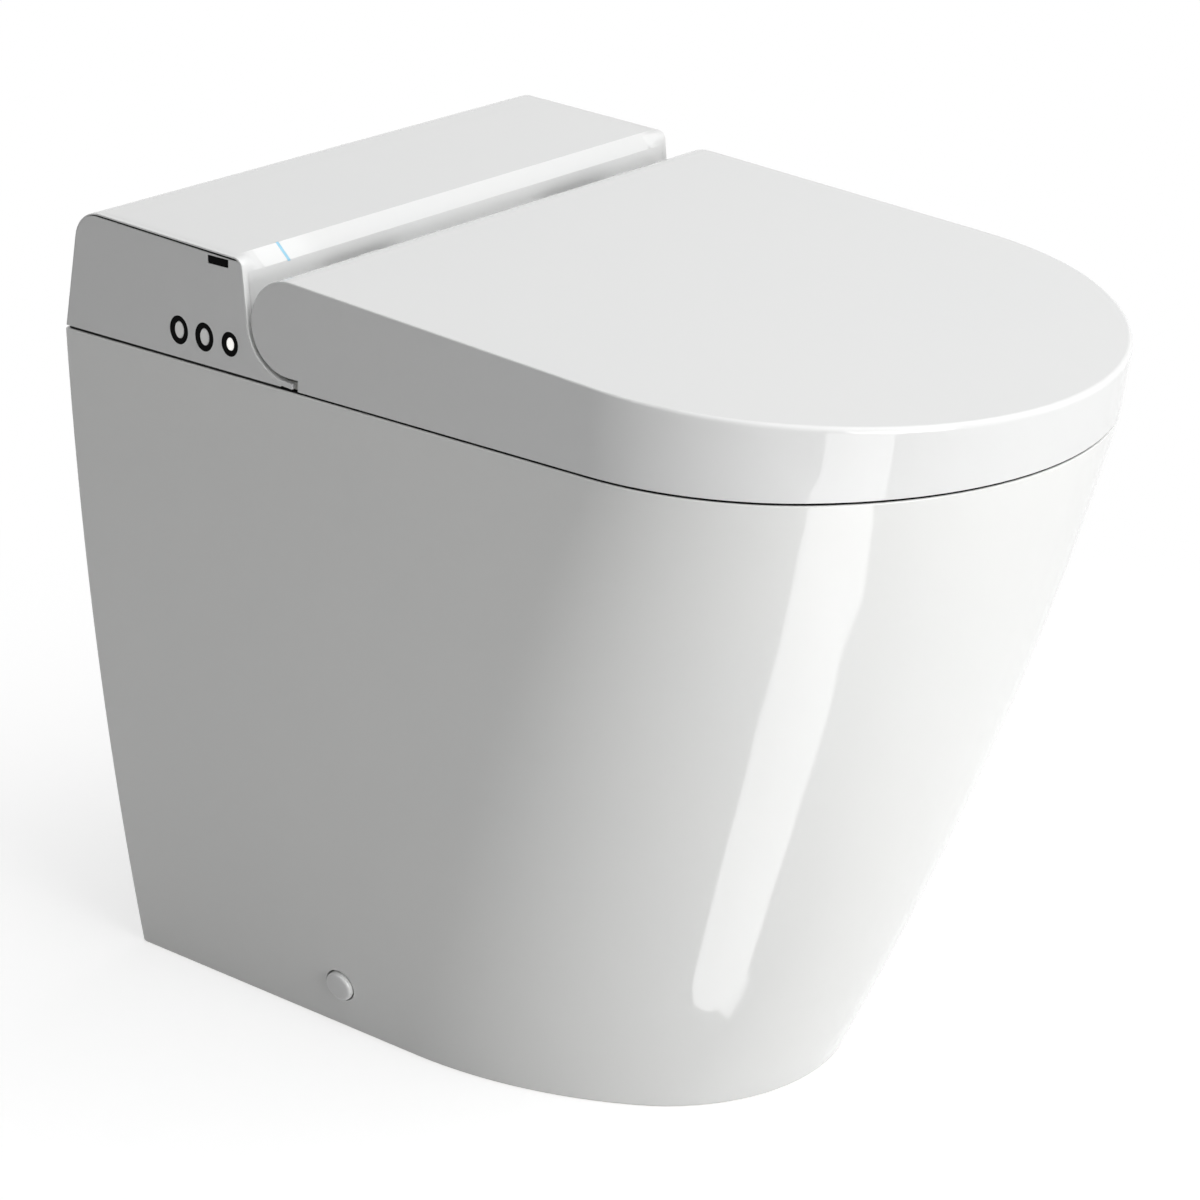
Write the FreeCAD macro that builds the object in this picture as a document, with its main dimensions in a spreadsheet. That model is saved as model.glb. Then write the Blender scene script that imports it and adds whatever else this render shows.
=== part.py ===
import FreeCAD, Part
import math
import os
import Sketcher

# Compact back-to-wall bidet toilet: china pan, heated seat, lid and a rear unit with the washing works.
# Frame: millimetres, +Z up, front towards -Y, the wall plane at the rear. A setback is a distance from
# the wall plane, and a user seated on the toilet has the button panel on the right-hand side (-X).

Vector = FreeCAD.Vector
doc = FreeCAD.newDocument("bidet_toilet")
sheet = doc.addObject("Spreadsheet::Sheet", "dims")

SIZES = {
    # whole object
    "overall_length": 536.0,
    "pan_width": 385.0,
    "rim_height": 405.0,
    "lid_overhang": 4.3,
    # china skirt: three plan outlines from the floor to the rim
    "rim_nose": 172.0,
    "rim_side_radius": 150.0,
    "mid_height": 203.0,
    "mid_width": 346.0,
    "mid_recess": 54.5,
    "mid_nose": 253.0,
    "mid_side_radius": 210.0,
    "base_width": 276.0,
    "base_recess": 131.0,
    "base_nose": 320.0,
    "base_side_radius": 255.0,
    "china_wall": 11.0,
    "deck_thickness": 14.0,
    "rim_round": 3.0,
    # bowl cavity
    "bowl_setback": 338.0,
    "bowl_length": 276.0,
    "bowl_width": 272.0,
    "waist_height": 230.0,
    "waist_setback": 330.0,
    "waist_length": 224.0,
    "waist_width": 208.0,
    "sump_height": 55.0,
    "sump_setback": 305.0,
    "sump_length": 116.0,
    "sump_width": 96.0,
    # trap and outlet spigot
    "trap_bore_radius": 40.0,
    "spigot_radius": 51.0,
    "trap_low": 95.0,
    "outlet_height": 185.0,
    "trap_bend": 68.0,
    "trap_rise": 60.0,
    "trap_mouth": 40.0,
    "spigot_setback": 40.0,
    # service well under the rear unit
    "well_back": 16.0,
    "well_front": 150.0,
    "well_width": 316.0,
    "well_floor": 262.0,
    # opening in the pan's back for the outlet and supply pipes
    "service_width": 190.0,
    "service_height": 247.0,
    # side fixings near the floor
    "fixing_setback": 165.0,
    "fixing_height": 30.0,
    "cap_radius": 9.6,
    "cap_face": 1.7,
    "cap_clearance": 0.3,
    "cap_round": 1.2,
    "screw_head_radius": 7.0,
    "screw_head": 3.0,
    "screw_radius": 4.0,
    "bracket_width": 40.0,
    "bracket_height": 50.0,
    "bracket_reach": 48.0,
    "bracket_plate": 8.0,
    "bracket_foot": 5.0,
    "bracket_gap": 0.5,
    "floor_hole_radius": 4.5,
    "floor_hole_inset": 31.5,
    # rear unit shell
    "seam_gap": 3.0,
    "plate_thickness": 4.0,
    "plate_inset": 3.0,
    "toe_length": 6.0,
    "post_clearance": 0.8,
    "cover_wall": 3.0,
    "cover_back": 2.0,
    "cover_lean": 11.0,
    "cover_back_height": 477.7,
    "cover_front_height": 472.7,
    "cover_front": 133.1,
    "cover_back_round": 18.0,
    "cover_front_round": 8.0,
    "cover_front_cut": 7.7,
    "cover_lift": 0.5,
    "panel_thickness": 2.8,
    "panel_gap": 1.2,
    "tongue_depth": 6.0,
    "tongue_wall": 2.0,
    "tongue_clearance": 0.3,
    # gasket and the screws that hold the rear unit down
    "gasket_inset": 6.5,
    "gasket_margin": 2.0,
    "unit_screw_pitch_x": 346.0,
    "unit_screw_near": 42.0,
    "unit_screw_far": 128.0,
    "unit_screw_radius": 3.0,
    "unit_head_radius": 5.5,
    "unit_head": 3.0,
    "unit_screw_clearance": 0.2,
    "insert_radius": 4.5,
    "insert_length": 11.0,
    # hinge
    "hinge_setback": 166.0,
    "hinge_height": 440.5,
    "barrel_radius": 26.5,
    "channel_gap": 2.5,
    "pin_radius": 5.0,
    "pin_clearance": 0.08,
    "pin_head_radius": 8.0,
    "pin_head": 3.0,
    "hub_radius": 12.0,
    "post_inner": 70.0,
    "post_thickness": 16.0,
    "seat_lug": 22.0,
    "lid_lug": 15.0,
    "lug_clearance": 0.4,
    "damper_radius": 11.0,
    "damper_length": 48.0,
    "pin_tail": 8.0,
    # lid
    "lid_wall": 3.5,
    "lid_slope": 3.6,
    "lid_step": 12.0,
    "lid_edge_round": 4.0,
    "lid_notch_margin": 2.0,
    "lid_notch_angle": 40.0,
    "lid_web_taper": 2.0,
    "lid_boss_wall": 1.0,
    # seat
    "seat_inset": 7.0,
    "seat_back": 204.0,
    "seat_lift": 6.0,
    "seat_bottom": 8.0,
    "seat_top": 13.0,
    "seat_hole_setback": 356.0,
    "seat_hole_length": 232.0,
    "seat_hole_width": 208.0,
    "seat_outer_round": 6.0,
    "seat_inner_round": 8.0,
    "heater_band": 14.0,
    "heater_margin": 12.0,
    "heater_thickness": 1.2,
    "heater_clearance": 0.1,
    "bush_wall": 2.0,
    "arm_overlap": 6.0,
    "arm_sink": 0.5,
    "arm_taper": 1.0,
    # rubber buffers
    "buffer_radius": 8.0,
    "buffer_gap": 0.3,
    "buffer_front": 470.0,
    "buffer_front_spread": 200.0,
    "buffer_back": 300.0,
    "buffer_back_spread": 320.0,
    "lid_buffer_height": 5.0,
    "lid_buffer_front": 485.0,
    "lid_buffer_front_spread": 180.0,
    "lid_buffer_back": 345.0,
    "lid_buffer_back_spread": 290.0,
    # push buttons on the near end panel
    "button_setback": 87.6,
    "button_pitch": 18.5,
    "button_height": 424.0,
    "ring_width": 13.4,
    "ring_height": 16.2,
    "small_ring_width": 12.0,
    "small_ring_height": 13.8,
    "ring_band": 3.1,
    "ring_depth": 5.0,
    "ring_proud": 0.3,
    "button_clearance": 0.2,
    "button_travel": 1.5,
    "button_flange": 1.2,
    "button_flange_depth": 1.0,
    "switch_height": 3.6,
    "switch_width": 6.0,
    "switch_board_margin": 9.0,
    "board_thickness": 1.6,
    "board_post_radius": 2.0,
    # receiver window and status light
    "window_setback": 116.3,
    "window_length": 15.0,
    "window_height": 3.6,
    "window_drop": 3.2,
    "window_depth": 4.0,
    "light_x": 155.6,
    "light_width": 2.0,
    "light_clearance": 0.1,
    "light_length": 8.2,
    # wash wand and its drive
    "wand_tilt": 20.0,
    "wand_tip_setback": 198.0,
    "wand_tip_height": 363.0,
    "wand_radius": 8.0,
    "wand_length": 175.0,
    "wand_bore": 5.0,
    "wand_plug": 6.0,
    "head_length": 24.0,
    "head_radius": 8.8,
    "head_round": 4.4,
    "jet_radius": 0.9,
    "jet_floor": 2.0,
    "jet_first": 6.0,
    "jet_pitch": 4.0,
    "rack_width": 6.0,
    "rack_front": 60.0,
    "rack_module": 1.0,
    "rack_backlash": 0.25,
    "rack_root": 1.25,
    "rack_back": 1.0,
    "rack_sink": 1.6,
    "pressure_angle": 20.0,
    "pinion_teeth": 14.0,
    "pinion_along": 78.0,
    "pinion_shaft_radius": 2.0,
    "pinion_shaft_grip": 6.0,
    "cradle_wall": 2.0,
    "cradle_clearance": 0.4,
    "cradle_back": 165.0,
    "cradle_front": 58.0,
    "cradle_ear_setback": 62.0,
    "cradle_ear_width": 20.0,
    "cradle_ear": 3.0,
    "cradle_ear_reach": 42.0,
    "cradle_ear_hold": 8.0,
    "cradle_side": 4.0,
    "motor_radius": 11.0,
    "motor_length": 18.0,
    "tunnel_clearance": 1.7,
    "tunnel_wall": 8.0,
    # warm-air dryer
    "duct_x": 85.0,
    "duct_tip_height": 366.0,
    "duct_width": 34.0,
    "duct_height": 16.0,
    "duct_wall": 2.0,
    "duct_length": 92.0,
    "duct_clearance": 0.4,
    "duct_margin": 1.0,
    "flap_ear_length": 4.0,
    "flap_thickness": 1.4,
    "flap_pin_radius": 0.9,
    "flap_clearance": 0.3,
    "blower_setback": 66.0,
    "blower_radius": 36.0,
    "blower_height": 28.0,
    "blower_wall": 2.0,
    "impeller_radius": 27.0,
    "impeller_clearance": 2.5,
    "impeller_hub": 8.0,
    "impeller_blades": 15.0,
    "blade_thickness": 1.4,
    "wheel_disc": 1.5,
    "shaft_end_gap": 0.5,
    "blower_shaft_radius": 2.5,
    "blower_motor_radius": 14.0,
    "blower_motor_length": 16.0,
    # water works in the well
    "heater_tank_x": 105.0,
    "heater_tank_width": 84.0,
    "heater_tank_depth": 72.0,
    "heater_tank_height": 62.0,
    "heater_tank_setback": 36.0,
    "heater_tank_round": 8.0,
    "tank_stub_radius": 5.0,
    "tank_stub_height": 12.0,
    "tank_stub_spread": 40.0,
    "tank_stub_inset": 20.0,
    "valve_x": 100.0,
    "valve_setback": 52.0,
    "valve_width": 44.0,
    "valve_depth": 36.0,
    "valve_height": 46.0,
    "coil_radius": 13.0,
    "coil_height": 30.0,
    "inlet_radius": 10.4,
    "inlet_bore": 7.0,
    "inlet_depth": 11.0,
    "inlet_drop": 36.0,
    "inlet_shoulder": 0.5,
    "inlet_clearance": 0.3,
    "nut_radius": 16.0,
    "nut_height": 8.0,
    "pump_radius": 25.0,
    "pump_length": 78.0,
    "pump_x": 84.0,
    "pump_setback": 113.0,
    "pump_foot_depth": 40.0,
    "pump_foot_height": 15.0,
    "port_x": 60.0,
    "port_rise": 58.0,
    "port_radius": 14.0,
    "spreader_clearance": 0.4,
    "spreader_flange": 4.0,
    "spreader_lip": 4.0,
    "spreader_wall": 2.0,
    "spout_width": 18.0,
    "spout_height": 4.0,
    "spout_depth": 6.0,
    "spreader_end": 206.0,
    "hose_radius": 9.0,
    "hose_bore": 6.0,
    "hose_bend": 22.0,
    "hose_grip": 7.0,
    "hose_gap": 2.0,
    "gland_x": 105.0,
    "gland_setback": 124.0,
    "gland_radius": 7.0,
    "gland_bore": 4.0,
    "gland_flange": 4.0,
    "gland_drop": 20.0,
    "gland_lip": 4.0,
    # boards
    "board_x": 100.0,
    "board_length": 116.0,
    "board_depth": 84.0,
    "board_setback": 22.0,
    "board_lift": 8.0,
    "standoff_radius": 3.0,
    "standoff_margin": 7.0,
    "supply_x": 144.0,
    "supply_width": 42.0,
    "supply_depth": 84.0,
    "supply_height": 28.0,
    "supply_round": 3.0,
}
for row, (alias, value) in enumerate(SIZES.items(), start=1):
    sheet.set(f"A{row}", alias)
    sheet.set(f"B{row}", str(value))
    sheet.setAlias(f"B{row}", alias)
doc.recompute()


def d(alias):
    """Expression that reads one driving dimension."""
    return f"dims.{alias}"


def number(expression):
    """Present value of an expression in the driving dimensions."""
    result = sheet.evalExpression(str(expression))
    return float(getattr(result, "Value", result))


def back(setback):
    """Expression for the Y of a point at a distance from the wall plane."""
    return f"(dims.overall_length / 2 - ({setback}))"


# Shared levels and lengths, all worked out from the driving dimensions.
RIM_LENGTH = "(dims.overall_length - dims.lid_overhang)"
RIM_ARCH = "(dims.overall_length - dims.rim_nose)"
SEAM_TOP = "(dims.rim_height + dims.seam_gap)"
PLATE_TOP = f"({SEAM_TOP} + dims.plate_thickness)"
HALF = "(dims.pan_width / 2)"
COVER_HALF = f"({HALF} - dims.panel_thickness - dims.panel_gap)"
CHANNEL = "(dims.barrel_radius + dims.channel_gap)"
POST_OUTER = "(dims.post_inner + dims.post_thickness)"
SEAT_LUG_IN = f"({POST_OUTER} + dims.lug_clearance)"
SEAT_LUG_OUT = f"({SEAT_LUG_IN} + dims.seat_lug)"
LID_LUG_IN = f"({SEAT_LUG_OUT} + dims.lug_clearance)"
LID_LUG_OUT = f"({LID_LUG_IN} + dims.lid_lug)"
PIN_HEAD_IN = f"({LID_LUG_OUT} + dims.lug_clearance)"
SEAT_LOW = "(dims.rim_height + dims.seat_lift)"
SEAT_SPLIT = f"({SEAT_LOW} + dims.seat_bottom)"
SEAT_HIGH = f"({SEAT_SPLIT} + dims.seat_top)"
WELL_UNDER = "(dims.well_floor - dims.china_wall)"
PUMP_TOP = "(dims.well_floor + 2 * dims.pump_radius)"
PORT_HEIGHT = f"({PUMP_TOP} + dims.port_rise)"
# Cutters run well beyond the faces they open, or 1 mm past them where something is close behind.
BEYOND = "10"


def bind(item, **properties):
    """Tie properties of a document object to expressions."""
    for name, expression in properties.items():
        item.setExpression(name.replace("__", "."), str(expression))
    return item


def place(item, x, y, z):
    """Tie the position of a document object to expressions."""
    return bind(item, Placement__Base__x=x, Placement__Base__y=y, Placement__Base__z=z)


def block(name, x, setback, z):
    """Upright box between pairs of X, wall distances and heights."""
    box = bind(doc.addObject("Part::Box", name), Length=f"{x[1]} - ({x[0]})",
               Width=f"{setback[1]} - ({setback[0]})", Height=f"{z[1]} - ({z[0]})")
    return place(box, x[0], back(setback[1]), z[0])


TURNS = {
    "up": (Vector(0, 0, 1), 0),
    "across": (Vector(0, 1, 0), 90),
    "forward": (Vector(1, 0, 0), 90),
}


def rod(name, direction, radius, length, x, setback, z):
    """Round bar that starts at a point and runs up, across (+X) or forward (-Y)."""
    item = bind(doc.addObject("Part::Cylinder", name), Radius=radius, Height=length)
    item.Placement = FreeCAD.Placement(Vector(), FreeCAD.Rotation(*TURNS[direction]))
    return place(item, x, back(setback), z)


def fuse(name, *items):
    """One solid out of several that overlap."""
    item = doc.addObject("Part::MultiFuse", name)
    item.Shapes = list(items)
    return item


def cut(name, base, *tools):
    """A solid with other solids taken out of it."""
    item = doc.addObject("Part::Cut", name)
    item.Base = base
    item.Tool = tools[0] if len(tools) == 1 else fuse(f"{name}_cutters", *tools)
    return item


def common(name, first, second):
    """What two solids share."""
    item = doc.addObject("Part::Common", name)
    item.Base = first
    item.Tool = second
    return item


def group(name, *items):
    """Several separate solids kept as one piece list."""
    item = doc.addObject("Part::Compound", name)
    item.Links = list(items)
    return item


def rounded(name, base, chosen, radius, kind="Fillet"):
    """Round those edges of a solid that the test picks, or cut them flat with a Chamfer."""
    doc.recompute()
    item = doc.addObject(f"Part::{kind}", name)
    item.Base = base
    size = number(radius)
    picked = [i for i, edge in enumerate(base.Shape.Edges, start=1) if chosen(edge)]
    item.Edges = [(i, size, size) for i in picked]
    return item


def profile(name, plane, start, steps, level="0"):
    """Closed sketch outline from a start point by lines and arcs.

    A step is an end point alone for a line, or an end point, a centre and a radius for an arc.
    In the side plane the first value of a point is a wall distance, in the plan it is an X.
    """
    sketch = doc.addObject("Sketcher::SketchObject", name)
    if plane == "side":
        sketch.Placement = FreeCAD.Placement(Vector(), FreeCAD.Rotation(Vector(1, 1, 1), 120))
        place(sketch, level, "0", "0")
    else:
        place(sketch, "0", "0", level)

    def flat(point):
        return (back(point[0]), point[1]) if plane == "side" else (point[0], back(point[1]))

    def spot(point):
        return Vector(number(point[0]), number(point[1]), 0)

    corner = flat(start)
    ends = []
    for step in steps:
        target = flat(step[0])
        here = spot(corner)
        there = spot(target)
        if len(step) == 1:
            edge = sketch.addGeometry(Part.LineSegment(here, there))
            ends.append((edge, 1, 2, target))
        else:
            centre = spot(flat(step[1]))
            middle = (here + there) * 0.5 - centre
            middle.normalize()
            through = centre + middle * number(step[2])
            edge = sketch.addGeometry(Part.Arc(here, through, there))
            left = (here - centre).cross(there - centre).z > 0
            ends.append((edge, 1, 2, target) if left else (edge, 2, 1, target))
            rule = sketch.addConstraint(Sketcher.Constraint("Radius", edge, number(step[2])))
            sketch.setExpression(f"Constraints[{rule}]", step[2])
        corner = target
    for (edge, _, last, target), (following, first, _, _) in zip(ends, ends[1:] + ends[:1]):
        sketch.addConstraint(Sketcher.Constraint("Coincident", edge, last, following, first))
        for kind, expression in zip(("DistanceX", "DistanceY"), target):
            pinned = Sketcher.Constraint(kind, -1, 1, edge, last, number(expression))
            rule = sketch.addConstraint(pinned)
            sketch.setExpression(f"Constraints[{rule}]", expression)
    return sketch


def prism(name, sketch, length, both_ways=False):
    """Solid made by drawing a sketch out along its normal."""
    item = doc.addObject("Part::Extrusion", name)
    item.Base = sketch
    item.DirMode = "Normal"
    item.Solid = True
    item.Symmetric = both_ways
    return bind(item, LengthFwd=length)


def loft(name, *sections):
    """Smooth solid through closed outlines."""
    item = doc.addObject("Part::Loft", name)
    item.Sections = list(sections)
    item.Solid = True
    item.Ruled = False
    return item


def arched(name, level, half, rear, front, arch, radius):
    """Plan outline with a flat back, straight sides and a three-centred arch at the front."""
    rise = f"({front} - ({arch}))"
    side = f"({half} - ({radius}))"
    nose = f"(({side} * {side} + {rise} * {rise} - {radius} * {radius}) / (2 * ({rise} - {radius})))"
    meet = f"({nose} * {side} / ({nose} - {radius}))"
    reach = f"({arch} + {rise} - {nose} + {nose} * ({nose} - {rise}) / ({nose} - {radius}))"
    return profile(name, "plan", (f"-({half})", rear), [
        ((half, rear),),
        ((half, arch),),
        ((meet, reach), (side, arch), radius),
        ((f"-{meet}", reach), ("0", f"({arch} + {rise} - {nose})"), nose),
        ((f"-({half})", arch), (f"-{side}", arch), radius),
        ((f"-({half})", rear),),
    ], level)


def oval(name, level, setback, length, width):
    """Plan ellipse with its long axis front to back."""
    item = bind(doc.addObject("Part::Ellipse", name), MajorRadius=f"({length}) / 2",
                MinorRadius=f"({width}) / 2")
    item.Placement = FreeCAD.Placement(Vector(), FreeCAD.Rotation(Vector(0, 0, 1), 90))
    return place(item, "0", back(setback), level)


def oval_disc(name, setback, length, width, low, high):
    """Upright elliptical disc between two heights."""
    return prism(name, oval(f"{name}_outline", low, setback, length, width), f"{high} - ({low})")


nodes = {}


def piece(name, item):
    """Give a finished sub-part its name."""
    item.Label = name
    nodes[name] = item
    return item


# China pan: skirt
BASE_LENGTH = "(dims.overall_length - dims.base_recess)"
BASE_ARCH = "(dims.overall_length - dims.base_nose)"
MID_LENGTH = "(dims.overall_length - dims.mid_recess)"
MID_ARCH = "(dims.overall_length - dims.mid_nose)"


def skirt(name, inset, low, high, rear):
    """Outline loft of the skirt, set in from the outer face by an amount."""
    sections = []
    for level, width, length, arch, radius, where in (
            (low, d("base_width"), BASE_LENGTH, BASE_ARCH, d("base_side_radius"), "base"),
            (d("mid_height"), d("mid_width"), MID_LENGTH, MID_ARCH, d("mid_side_radius"), "mid"),
            (high, d("pan_width"), RIM_LENGTH, RIM_ARCH, d("rim_side_radius"), "rim")):
        sections.append(arched(f"{name}_{where}", level, f"({width} / 2 - {inset})", rear,
                               f"({length} - {inset})", arch, f"({radius} - {inset})"))
    return loft(name, *sections)


skirt_outer = skirt("skirt_outer", "0", "0", d("rim_height"), f"-{BEYOND}")


def on_level(height):
    """Test for an edge that lies wholly at one height."""
    def chosen(edge):
        box = edge.BoundBox
        return abs(box.ZMin - height) < 0.01 and abs(box.ZMax - height) < 0.01
    return chosen


skirt_rounded = rounded("skirt_rounded", skirt_outer, on_level(number("dims.rim_height")), d("rim_round"))
DECK_UNDER = "(dims.rim_height - dims.deck_thickness)"
skirt_hollow = skirt("skirt_hollow", d("china_wall"), f"-{BEYOND}", DECK_UNDER, d("china_wall"))
service_opening = block("service_opening", ("-dims.service_width / 2", "dims.service_width / 2"),
                        ("-1", "dims.china_wall + 1"), ("-1", d("service_height")))
behind_wall = block("behind_wall", ("-dims.pan_width", d("pan_width")), (f"-2 * {BEYOND}", "0"),
                    (f"-{BEYOND}", f"dims.rim_height + {BEYOND}"))
skirt_shell = cut("skirt_shell", skirt_rounded, skirt_hollow, service_opening, behind_wall)


def bowl(name, wall, top):
    """Bowl form from sump to rim, grown outwards by a wall."""
    extra = f"2 * {wall}"
    return loft(
        name,
        oval(f"{name}_sump", f"{d('sump_height')} - {wall}", d("sump_setback"),
             f"{d('sump_length')} + {extra}", f"{d('sump_width')} + {extra}"),
        oval(f"{name}_waist", d("waist_height"), d("waist_setback"),
             f"{d('waist_length')} + {extra}", f"{d('waist_width')} + {extra}"),
        oval(f"{name}_top", top, d("bowl_setback"),
             f"{d('bowl_length')} + {extra}", f"{d('bowl_width')} + {extra}"))


bowl_outer = bowl("bowl_outer", d("china_wall"), DECK_UNDER)
bowl_inner = bowl("bowl_inner", "0", "dims.rim_height + 1")

# China pan: trapway, rising from the sump and turning level to the outlet spigot
BEND_RISE = "(dims.trap_bend * (1 - cos(dims.trap_rise)))"
CLIMB = f"((dims.outlet_height - dims.trap_low - 2 * {BEND_RISE}) / sin(dims.trap_rise))"
BEND_RUN = "(dims.trap_bend * sin(dims.trap_rise))"
TRAP_START = "(dims.sump_setback - dims.trap_mouth)"


def trapway(name, radius, mouth, end):
    """Round pipe along the trap's path, level, rising and level again."""
    first = number(TRAP_START)
    run = number(BEND_RUN)
    rise = number(BEND_RISE)
    bend = number(d("trap_bend"))
    low = number(d("trap_low"))
    high = number(d("outlet_height"))
    half_turn = math.radians(number(d("trap_rise")) / 2)
    climb = number(CLIMB) * math.cos(2 * half_turn)

    def point(setback, z):
        return Vector(0, number(back(setback)), z)

    second = first - run
    third = second - climb
    fourth = third - run
    hump = (bend * math.sin(half_turn), bend * (1 - math.cos(half_turn)))
    edges = [
        Part.LineSegment(point(number(mouth), low), point(first, low)),
        Part.Arc(point(first, low), point(first - hump[0], low + hump[1]), point(second, low + rise)),
        Part.LineSegment(point(second, low + rise), point(third, high - rise)),
        Part.Arc(point(third, high - rise), point(fourth + hump[0], high - hump[1]), point(fourth, high)),
        Part.LineSegment(point(fourth, high), point(number(end), high)),
    ]
    path = Part.Wire([edge.toShape() for edge in edges])
    ring = Part.Wire(Part.makeCircle(number(radius), point(number(mouth), low), Vector(0, 1, 0)))
    pipe = doc.addObject("Part::Feature", name)
    pipe.Shape = path.makePipeShell([ring], True, False)
    return pipe


trap_outer = trapway("trap_outer", d("spigot_radius"), d("sump_setback"), d("spigot_setback"))
trap_inner = trapway("trap_inner", d("trap_bore_radius"), d("sump_setback"),
                     f"dims.spigot_setback - {BEYOND}")

# China pan: service well behind the bowl, open at the top under the rear unit
WELL_HALF = "(dims.well_width / 2)"
well_outer = block("well_outer", (f"-({WELL_HALF} + dims.china_wall)", f"{WELL_HALF} + dims.china_wall"),
                   ("dims.well_back - dims.china_wall", "dims.well_front + dims.china_wall"),
                   (WELL_UNDER, DECK_UNDER))
well_inner = block("well_inner", (f"-{WELL_HALF}", WELL_HALF), (d("well_back"), d("well_front")),
                   (d("well_floor"), f"dims.rim_height + {BEYOND}"))


def tilted(name, x, up, along, tip_height):
    """Box in the sloping frame of the wand: across, square to the slope, and along it from the tip."""
    box = bind(doc.addObject("Part::Box", name), Length=f"{x[1]} - ({x[0]})", Width=f"{up[1]} - ({up[0]})",
               Height=f"{along[1]} - ({along[0]})")
    box.Placement = FreeCAD.Placement(Vector(), FreeCAD.Rotation(Vector(1, 0, 0), 90))
    bind(box, Placement__Rotation__Angle="90 + dims.wand_tilt")
    return place(box, x[0], *sloped(up[0], along[0], tip_height))


def sloped(up, along, tip_height):
    """Y and Z of a point in the sloping frame."""
    y = f"{back(d('wand_tip_setback'))} - ({up}) * sin(dims.wand_tilt) - ({along}) * cos(dims.wand_tilt)"
    z = f"({tip_height}) + ({up}) * cos(dims.wand_tilt) - ({along}) * sin(dims.wand_tilt)"
    return y, z


def tilted_rod(name, radius, up, along, tip_height, x="0"):
    """Round bar along the slope."""
    item = bind(doc.addObject("Part::Cylinder", name), Radius=radius, Height=f"{along[1]} - ({along[0]})")
    item.Placement = FreeCAD.Placement(Vector(), FreeCAD.Rotation(Vector(1, 0, 0), 90))
    bind(item, Placement__Rotation__Angle="90 + dims.wand_tilt")
    return place(item, x, *sloped(up, along[0], tip_height))


TIP = d("wand_tip_height")
DUCT_TIP = d("duct_tip_height")
PITCH_LINE = "(dims.wand_radius + 2 * dims.rack_module + dims.rack_back)"
RACK_TOP = f"({PITCH_LINE} + dims.rack_module)"
TUNNEL_BACK = "-(dims.wand_tip_setback - dims.well_front + dims.china_wall) / cos(dims.wand_tilt)"
TUNNEL_FRONT = "2 * dims.china_wall"
TUNNEL_HALF = "(dims.head_radius + dims.tunnel_clearance)"
FLAP_AXIS = "(dims.duct_height / 2 + dims.flap_pin_radius + dims.flap_clearance + dims.duct_wall / 2)"
DUCT_TOP = f"({FLAP_AXIS} + dims.flap_pin_radius + dims.duct_wall)"


def tunnel(name, grow):
    """Passages for the wand and the air duct through the back of the bowl, and the flush port."""
    wand = tilted(f"{name}_wand", (f"-({TUNNEL_HALF} + {grow})", f"{TUNNEL_HALF} + {grow}"),
                  (f"-({TUNNEL_HALF} + {grow})", f"{RACK_TOP} + dims.tunnel_clearance + {grow}"),
                  (TUNNEL_BACK, TUNNEL_FRONT), TIP)
    half = f"(dims.duct_width / 2 + dims.duct_clearance + {grow})"
    duct = tilted(f"{name}_duct", (f"dims.duct_x - {half}", f"dims.duct_x + {half}"),
                  (f"-(dims.duct_height / 2 + dims.duct_clearance + {grow})",
                   f"{DUCT_TOP} + dims.duct_clearance + {grow}"),
                  (TUNNEL_BACK, TUNNEL_FRONT), DUCT_TIP)
    port = rod(f"{name}_port", "forward", f"dims.port_radius + {grow}",
               "dims.spreader_end + 2 * dims.china_wall - dims.well_front + 1",
               "-dims.port_x", "dims.well_front - 1", PORT_HEIGHT)
    return fuse(name, wand, duct, port)


tunnel_outer = tunnel("tunnel_outer", d("tunnel_wall"))
tunnel_inner = tunnel("tunnel_inner", "0")
# The tunnel walls run from the well's front wall to the bowl, below the deck.
tunnel_walls = common("tunnel_walls", tunnel_outer,
                      block("tunnel_limit", (f"-{WELL_HALF}", WELL_HALF),
                            ("dims.well_front + dims.china_wall", d("bowl_setback")),
                            (d("waist_height"), DECK_UNDER)))

# China pan: holes for the fixings, the water inlet, the cable gland and the rear unit's inserts
BORE_HALF = "(dims.base_width / 2)"
pan_holes = []
for sign, side in ((-1, "right"), (1, "left")):
    start = f"-{HALF}" if sign < 0 else BORE_HALF
    pan_holes.append(rod(f"cap_bore_{side}", "across", "dims.cap_radius + dims.cap_clearance",
                         f"{HALF} - {BORE_HALF}", start, d("fixing_setback"), d("fixing_height")))
    start = f"-{HALF}" if sign < 0 else "0"
    pan_holes.append(rod(f"screw_bore_{side}", "across", "dims.screw_radius + dims.cap_clearance",
                         f"{HALF}", start, d("fixing_setback"), d("fixing_height")))
    for name, setback in (("near", d("unit_screw_near")), ("far", d("unit_screw_far"))):
        pan_holes.append(rod(f"insert_bore_{side}_{name}", "up", d("insert_radius"),
                             "dims.insert_length + 1", f"{sign} * dims.unit_screw_pitch_x / 2", setback,
                             "dims.rim_height - dims.insert_length"))
SHANK_RADIUS = "(dims.inlet_radius + dims.inlet_shoulder)"
pan_holes.append(rod("inlet_bore", "up", f"{SHANK_RADIUS} + dims.inlet_clearance", "2 * dims.china_wall",
                     "-dims.valve_x", d("valve_setback"), f"{WELL_UNDER} - dims.china_wall / 2"))
pan_holes.append(rod("gland_bore_hole", "up", d("gland_radius"), "2 * dims.china_wall",
                     d("gland_x"), d("gland_setback"), f"{WELL_UNDER} - dims.china_wall / 2"))
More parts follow.
